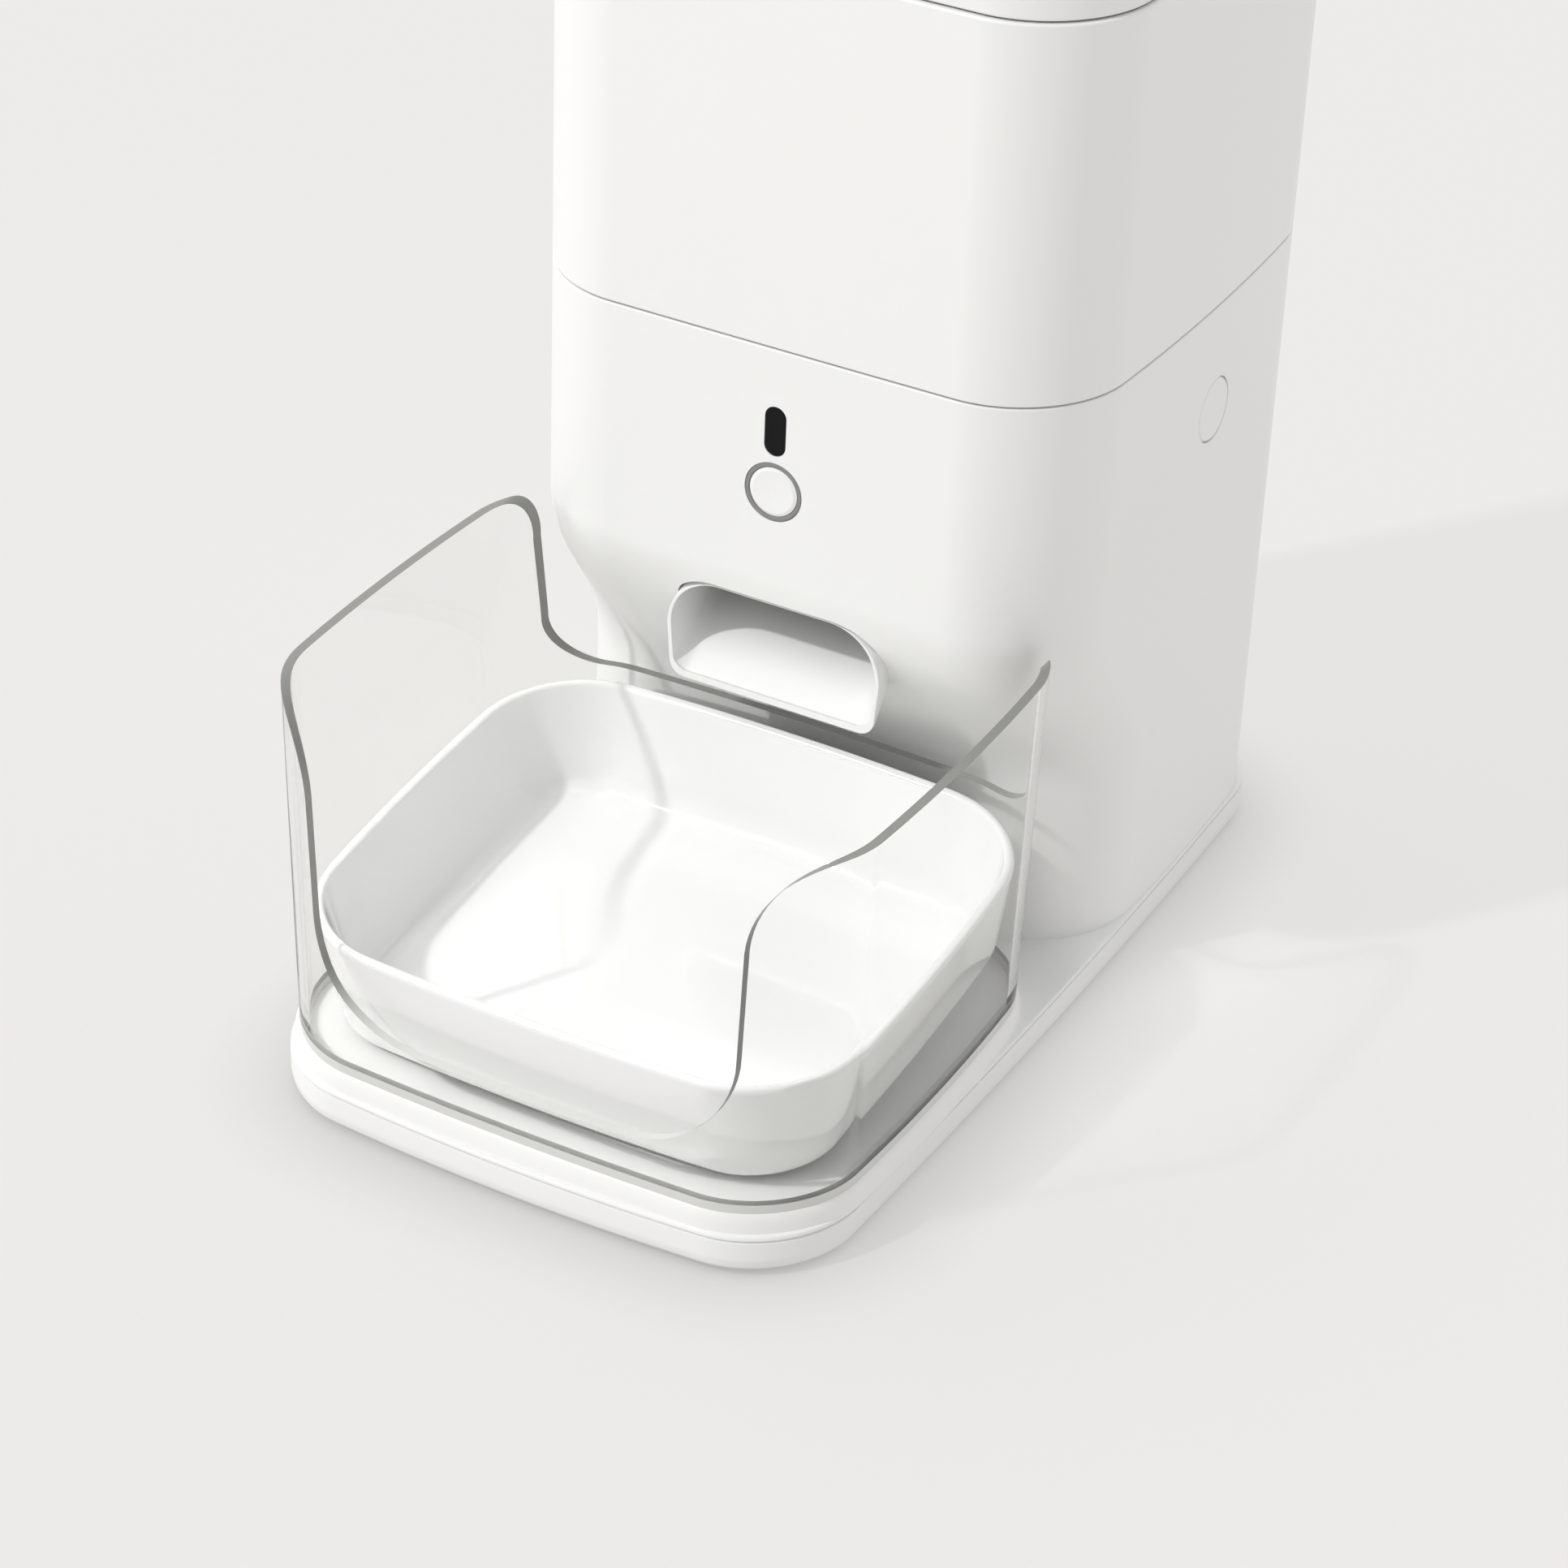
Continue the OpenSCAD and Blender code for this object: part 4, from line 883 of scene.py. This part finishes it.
def chute_shape(t, y0, y1, top, lip=None):
    """A solid from the mouth up to the chamber's outlet, set in by t, and at the mouth by lip."""
    mouth_z = DECK_Z + SETBACK_Z + MOUTH_RISE
    rim = mouth(t)
    if lip:
        side, head, foot = lip
        wide, tall = MOUTH_HALF - side, MOUTH_HIGH - foot - head
        rim = [(x * wide / MOUTH_HALF, foot + z * tall / MOUTH_HIGH) for x, z in mouth(0)]
    points = [(x, y, mouth_z + z) for x, z in rim for y in (y0, y1)]
    for x in (t - INLET_HALF, INLET_HALF - t):
        for y in (INLET_Y + t, INLET_Y + INLET_D - t):
            points += [(x, y, INLET_Z), (x, y, top)]
    return wrapped(points)


def chute():
    """The chute: a thin-lipped mouth and the duct up to the chamber."""
    f = finishes()
    t = bpy.context.scene.feeder_sizes.chute_t / MM
    front = BODY_FRONT + 3
    lip = (1.3, 0.9, 2.2)
    duct = chute_shape(t, front - 1, front + 1, CHUTE_TOP + 1, lip)
    piece("chute_shell", chute_shape(0, front, front + 1, CHUTE_TOP), [f["chute"]], "base",
          ["food_chute"], [duct], edge=0.25, sharp=35)


def housing():
    """The housing: its walls, and the openings for the chute, controls, releases and back."""
    f, (_, body, _, foot_front) = finishes(), boxes()
    s = bpy.context.scene.feeder_sizes
    t = s.shell_t / MM
    levels = [DECK_Z, DECK_Z + 30, DECK_Z + 56]
    levels += [DECK_Z + SETBACK_Z + SETBACK_RISE * i / 24 for i in range(25)]
    levels += [DECK_Z + 128, DECK_Z + 160]

    def ring(out, z):
        box = (body[0], front_at(z, foot_front), body[2], body[3])
        return outline(inset(box, out), body, BODY_BOW, z)

    rings = [ring(0, z) for z in levels]
    rings += [ring(out, z) for out, z in round_edge(0, HOUSING_TOP, 0.5)]
    rings.append(ring(t, HOUSING_TOP))
    rings += [ring(t, z) for z in reversed(levels)]
    bm = bmesh.new()
    sweep(bm, rings, wrap=True)
    tidy(bm)
    before, behind = BODY_FRONT - 5, BODY_FRONT + 5
    tools = [
        chute_shape(FIT, BODY_FRONT - OVERRUN, BODY_FRONT + 4, CHUTE_TOP + 0.25),
        rod(RING_HOLE_R, (0, before, BUTTON_Z), (0, behind, BUTTON_Z)),
        pill(3.6, 8.1, before, behind, WINDOW_Z),
    ]
    release_r = (RELEASE_HIGH.y - RELEASE_LOW.y) / 2 + FIT
    release_z = RELEASE_LOW.z + release_r - FIT
    for side in (-1, 1):
        tools.append(rod(release_r, (side * (BODY_HALF - 9), RELEASE_Y, release_z),
                         (side * (BODY_HALF + 5), RELEASE_Y, release_z)))
    for node, lap_x, lap_z in (("rear_cover", 3.9, 2.9), ("battery_door", -FIT, -FIT)):
        low, high = mm_box(node)
        tools.append(block((low.x + lap_x, BODY_BACK - 7, low.z + lap_z),
                           (high.x - lap_x, BODY_BACK + 5, high.z - lap_z)))
    piece("housing_shell", bm, [f["shell"]], "base", ["lower_housing"], tools,
          edge=0.2, sharp=35)


PILL_STEPS = 24


def pill(r, half_h, y0, y1, z):
    """An upright bar with round ends."""
    points = []
    for i in range(PILL_STEPS + 1):
        a = math.radians(180 * i / PILL_STEPS)
        points.append((r * math.cos(a), half_h - r + r * math.sin(a)))
    points += [(-x, -h) for x, h in points]
    bm = bmesh.new()
    sweep(bm, [[Vector((x, y, z + h)) for x, h in points] for y in (y0, y1)])
    tidy(bm)
    return bm


def front_controls():
    """The dished button, the light ring round it and the sensor window."""
    f = finishes()
    turn = Matrix.Rotation(math.radians(-90), 4, "X")
    place = Matrix.Translation((0, BODY_FRONT, BUTTON_Z)) @ turn
    r = (BUTTON_HIGH.x - BUTTON_LOW.x) / 2
    depth = BUTTON_HIGH.y - BODY_FRONT
    stem_r, cap_t = 2.5, 3.2
    cap = [(0, 0.1), (2, 0.06), (4, -0.02), (5.4, -0.1), (6.2, -0.16), (6.7, -0.2), (7.0, -0.1),
           (r, 0.25), (r, cap_t), (stem_r, cap_t), (stem_r, depth), (0, depth)]
    piece("button_cap", turned(cap, place), [f["shell"]], "front_button_cap",
          ["front_button"])
    low, high = mm_box("light_ring")
    flange_r = (high.x - low.x) / 2
    out_r, in_r, back = flange_r - 1.5, r + 0.15, high.y - BODY_FRONT
    ring = [(in_r, 0.35), (in_r + 0.2, 0.08), (in_r + 0.4, 0), (out_r - 0.4, 0),
            (out_r - 0.15, 0.1), (out_r, 0.35), (out_r, 2.6), (flange_r, 2.6), (flange_r, back),
            (in_r, back)]
    piece("ring_light", turned(ring, place), [f["ring"]], "base", ["light_ring"])
    window = pill(3.5, 8, BODY_FRONT + 0.05, WINDOW_HIGH.y, WINDOW_Z)
    piece("window_pane", window, [f["window"]], "base", ["sensor_window"],
          edge=0.3)


def tank():
    """The tank: walls, a funnel down to a round neck, and the skirt that sits in the housing."""
    f, (_, body, _, _) = finishes(), boxes()
    s = bpy.context.scene.feeder_sizes
    t = s.shell_t / MM
    low, high = mm_box("neck_seal")
    neck_r = (high.x - low.x) / 2 - SEAL_LAP
    neck_out = neck_r + 2.6
    funnel_z, funnel_top = TANK_Z - SPIGOT, TANK_Z + FUNNEL_RISE

    def ring(out, z):
        return outline(inset(body, out), body, BODY_BOW, z)

    def neck(r, z, blend=0.0, out=2.5):
        """A ring between the round neck, blend 0, and the tank's wall, blend 1."""
        points = []
        for p in ring(out, z):
            away = Vector((p.x, p.y - CHAMBER_Y, 0))
            round_point = away.normalized() * r
            flat = away * blend + round_point * (1 - blend)
            points.append(Vector((flat.x, CHAMBER_Y + flat.y, z)))
        return points

    rings = [ring(o, z) for o, z in round_edge(0, TANK_Z, 0.5, up=False)]
    rings += [ring(0, TANK_Z + (TANK_TOP - TANK_Z) * k) for k in (0.25, 0.5, 0.75)]
    rings += [ring(o, z) for o, z in round_edge(0, TANK_TOP, 0.8)]
    rings += [ring(t - 0.4, TANK_TOP), ring(t, TANK_TOP - 0.4), ring(t, funnel_top + 2)]
    for k in (1.0, 0.75, 0.5, 0.25, 0.0):
        rings.append(neck(neck_r, funnel_z + (funnel_top - funnel_z) * k, k, t + 0.4 * k))
    rings += [neck(neck_r, TANK_LOW.z), neck(neck_out, TANK_LOW.z), neck(neck_out, funnel_z + 0.5)]
    for k in (0.25, 0.5, 0.75, 1.0):
        rings.append(neck(neck_r + 2.2, funnel_z + 40 * k, k, t + 0.1))
    skirt = [(0.02, funnel_z + 39), (0.02, TANK_Z + 2), (2.8, TANK_Z + 2), (2.8, TANK_Z + 0.5),
             (2.5, TANK_Z), (2.5, TANK_Z - SPIGOT), (0.5, TANK_Z - SPIGOT), (0.5, TANK_Z)]
    rings += [ring(t + out, z) for out, z in skirt]
    bm = bmesh.new()
    sweep(bm, rings, wrap=True)
    tidy(bm)
    piece("tank_shell", bm, [f["shell"]], "tank", ["food_tank"], sharp=35)


def lid():
    """The lid: a crowned top on a straight side, and the lip that fits in the tank."""
    f, (_, body, _, _) = finishes(), boxes()
    t = bpy.context.scene.feeder_sizes.shell_t / MM

    def ring(out, z):
        return outline(inset(body, out), body, BODY_BOW, z)

    crown = LID_TOP - LID_CROWN
    side = [(t + 1, LID_Z), (2.0, LID_Z), (1.6, LID_Z + 0.05), (1.25, LID_Z + 0.3),
            (1, LID_Z + 0.8), (1, crown)]
    for i in range(1, 9):
        a = math.radians(90 * i / 8)
        side.append((1 + LID_ROUND * (1 - math.cos(a)), crown + LID_ROUND * math.sin(a)))
    side += [(14, LID_TOP - 0.45), (24, LID_TOP - 0.2), (40, LID_TOP - 0.05), (60, LID_TOP)]
    under = [(60, LID_TOP - 2.6), (12, LID_TOP - 3.0), (t + 4.6, LID_TOP - 4.2), (t + 3.2, crown),
             (t + 3.2, LID_Z + 1), (t + 3.4, LID_Z + 1), (t + 3.4, LID_Z - LID_LIP),
             (t + 1, LID_Z - LID_LIP)]
    bm = bmesh.new()
    sweep(bm, [ring(o, z) for o, z in side], caps=(False, True))
    sweep(bm, [ring(o, z) for o, z in under] + [ring(t + 1, LID_Z)], caps=(True, False))
    tidy(bm)
    piece("lid_shell", bm, [f["shell"]], "lid", ["tank_lid"], sharp=40)


# ---- stage ----
EYE = (0.55319, -1.04032, 0.80355)
VIEW_RIGHT = (0.870871, 0.490318, 0.034222)
VIEW_UP = (-0.288316, 0.453218, 0.843485)
VIEW_BACK = (0.398066, -0.744434, 0.536061)
LENS, SENSOR = 103.546, 36
FLOOR_HALF = 12
KEY_TRAVEL = (0.42, 0.57, -0.707)
KEY_SPREAD = math.radians(2.2)
FILL_FROM, FILL_LEAN = (-0.87, 0.5, 0), 0.44
CONTACT_REACH, CONTACT_SHADE = 0.032, 0.52
FLOOR_GLOW = 0.75


def stage():
    """The camera, the floor with its contact shadow, the key light and the light all round."""
    s = bpy.context.scene.feeder_studio
    scene = bpy.context.scene
    camera = bpy.data.objects.new("camera", bpy.data.cameras.new("camera"))
    camera.data.lens = LENS
    camera.data.sensor_width = SENSOR
    camera.data.clip_end = 50
    turn = Matrix((VIEW_RIGHT, VIEW_UP, VIEW_BACK)).transposed()
    camera.matrix_world = Matrix.Translation(EYE) @ turn.to_quaternion().to_matrix().to_4x4()
    scene.collection.objects.link(camera)
    scene.camera = camera

    bm = bmesh.new()
    bmesh.ops.create_grid(bm, x_segments=4, y_segments=4, size=FLOOR_HALF)
    floor = on_stage("floor", bm)
    b = Bench("paper_floor")
    grain = b.noise(240, 3)
    near = b.add("ShaderNodeAmbientOcclusion", {"samples": 12}, {"Distance": CONTACT_REACH},
                 out="AO")
    floor.data.materials.append(b.principled({
        "Base Color": b.mix(grain, rgba(s.floor, 0.218), rgba(s.floor, 0.222)),
        "Roughness": 0.85,
        "Specular IOR Level": 0.0,
        "Emission Color": b.mix(near, rgba(s.floor, CONTACT_SHADE), rgba(s.floor)),
        "Emission Strength": FLOOR_GLOW,
    }))

    lamp = bpy.data.lights.new("key", "SUN")
    lamp.energy = s.key
    lamp.angle = KEY_SPREAD
    key = bpy.data.objects.new("key", lamp)
    key.rotation_euler = Vector(KEY_TRAVEL).to_track_quat("-Z", "Y").to_euler()
    scene.collection.objects.link(key)

    world = bpy.data.worlds.new("studio")
    world.use_nodes = True
    scene.world = world
    w = Bench("studio", world.node_tree)
    where = w.add("ShaderNodeTexCoord", out="Generated")
    towards = w.add("ShaderNodeVectorMath", {"operation": "DOT_PRODUCT"},
                    {0: where, 1: FILL_FROM}, out="Value")
    level = s.fill * (1 + FILL_LEAN * towards)
    light = w.add("ShaderNodeBackground", None, {"Color": (1, 0.998, 0.99, 1), "Strength": level})
    w.add("ShaderNodeOutputWorld", None, {"Surface": light})
    scene.view_settings.view_transform = "Standard"


# ---- operators ----
def feeder_operator(idname, label, doc, job):
    """An operator class that makes one piece or group of like pieces."""

    def execute(self, context):
        job()
        return {"FINISHED"}

    return type(
        "FEEDER_OT_" + idname, (bpy.types.Operator,),
        {"bl_idname": "feeder." + idname, "bl_label": label, "__doc__": doc, "execute": execute},
    )


GROUPS = {
    "feet_and_screws": (
        ("rubber_feet", "rubber"), ("base_screws", "plated"), ("rear_cover_screws", "plated"),
        ("seat_plate_screws", "plated"), ("gearbox_screws", "plated"), ("bowl_seat_pad", "seal"),
    ),
    "rear_panel": (
        ("rear_cover", "shell"), ("battery_door", "shell"), ("door_hinge_pin", "steel"),
        ("power_socket", "black"),
    ),
    "release_buttons": (
        ("release_button_right", "shell"), ("release_button_left", "shell"),
        ("release_springs", "steel"), ("release_guides", "shell_inner"),
        ("front_button_spring", "steel"),
    ),
    "portioning": (
        ("tank_seat_plate", "shell_inner"), ("neck_seal", "seal"),
        ("portion_chamber", "shell_inner"), ("portion_baffle", "acetal"), ("baffle_wiper", "seal"),
        ("rotor_hub", "acetal"), ("rotor_paddles", "paddle"), ("rotor_shaft", "steel"),
        ("shaft_bushing", "acetal"), ("agitator", "acetal"),
    ),
    "drive": (
        ("rotor_gear", "acetal"), ("idler_gear", "acetal"), ("idler_axle", "steel"),
        ("pinion_gear", "brass"), ("motor_shaft", "steel"), ("gearbox_plate", "shell_inner"),
        ("drive_motor", "case"),
    ),
    "electronics": (
        ("button_board", "board"), ("button_switch", "black"), ("proximity_sensors", "black"),
        ("main_board", "board"), ("battery_box", "shell_inner"), ("batteries", "cell"),
        ("battery_contacts", "steel"),
    ),
    "lid_fittings": (
        ("lid_seal", "seal"), ("desiccant_case", "shell_inner"),
    ),
}
FINE = {
    "rotor_gear", "idler_gear", "pinion_gear", "release_springs", "front_button_spring", "lid_seal",
}


def group_job(name):
    """What an operator does for a group: finishes each of its nodes; fine ones keep their edges."""

    def job():
        f = finishes()
        for node, material in GROUPS[name]:
            refined(node, f[material], None if node in FINE else BROKEN_EDGE)

    return job


OPERATORS = [
    feeder_operator("stage", "Stage", "Makes the camera, the floor and the light", stage),
    feeder_operator("base_cover", "Base cover", "Makes the lower shell of the base", base_cover),
    feeder_operator("base_deck", "Base deck", "Makes the deck, the platform and the bowl's seat",
                    base_deck),
    feeder_operator("bowl", "Bowl", "Makes the tilted food bowl", bowl),
    feeder_operator("guard", "Guard", "Makes the clear splash guard", guard),
    feeder_operator("housing", "Housing", "Makes the lower housing", housing),
    feeder_operator("chute", "Chute", "Makes the food chute", chute),
    feeder_operator("front_controls", "Front controls", "Makes the button, its ring and the window",
                    front_controls),
    feeder_operator("tank", "Tank", "Makes the food tank with its funnel", tank),
    feeder_operator("lid", "Lid", "Makes the tank's lid", lid),
] + [
    feeder_operator(name, name.replace("_", " ").capitalize(),
                    "Makes the group: " + name.replace("_", " "), group_job(name))
    for name in GROUPS
]


class FEEDER_PT_pieces(bpy.types.Panel):
    """Lists the feeder's pieces"""

    bl_label = "Pet feeder"
    bl_space_type = "VIEW_3D"
    bl_region_type = "UI"
    bl_category = "Feeder"

    def draw(self, context):
        for operator in OPERATORS:
            self.layout.operator(operator.bl_idname)
        for name in ("feeder_sizes", "feeder_finishes", "feeder_studio"):
            group = getattr(context.scene, name)
            for prop in group.bl_rna.properties:
                if prop.identifier not in ("rna_type", "name"):
                    self.layout.prop(group, prop.identifier)


CLASSES = [FeederSizes, FeederFinishes, FeederStudio, FEEDER_PT_pieces] + OPERATORS


def register():
    for cls in CLASSES:
        bpy.utils.register_class(cls)
    bpy.types.Scene.feeder_sizes = bpy.props.PointerProperty(type=FeederSizes)
    bpy.types.Scene.feeder_finishes = bpy.props.PointerProperty(type=FeederFinishes)
    bpy.types.Scene.feeder_studio = bpy.props.PointerProperty(type=FeederStudio)


def unregister():
    del bpy.types.Scene.feeder_studio
    del bpy.types.Scene.feeder_finishes
    del bpy.types.Scene.feeder_sizes
    for cls in reversed(CLASSES):
        bpy.utils.unregister_class(cls)


def main():
    register()
    for operator in OPERATORS:
        getattr(bpy.ops.feeder, operator.bl_idname.split(".")[1])()


if __name__ == "__main__":
    main()
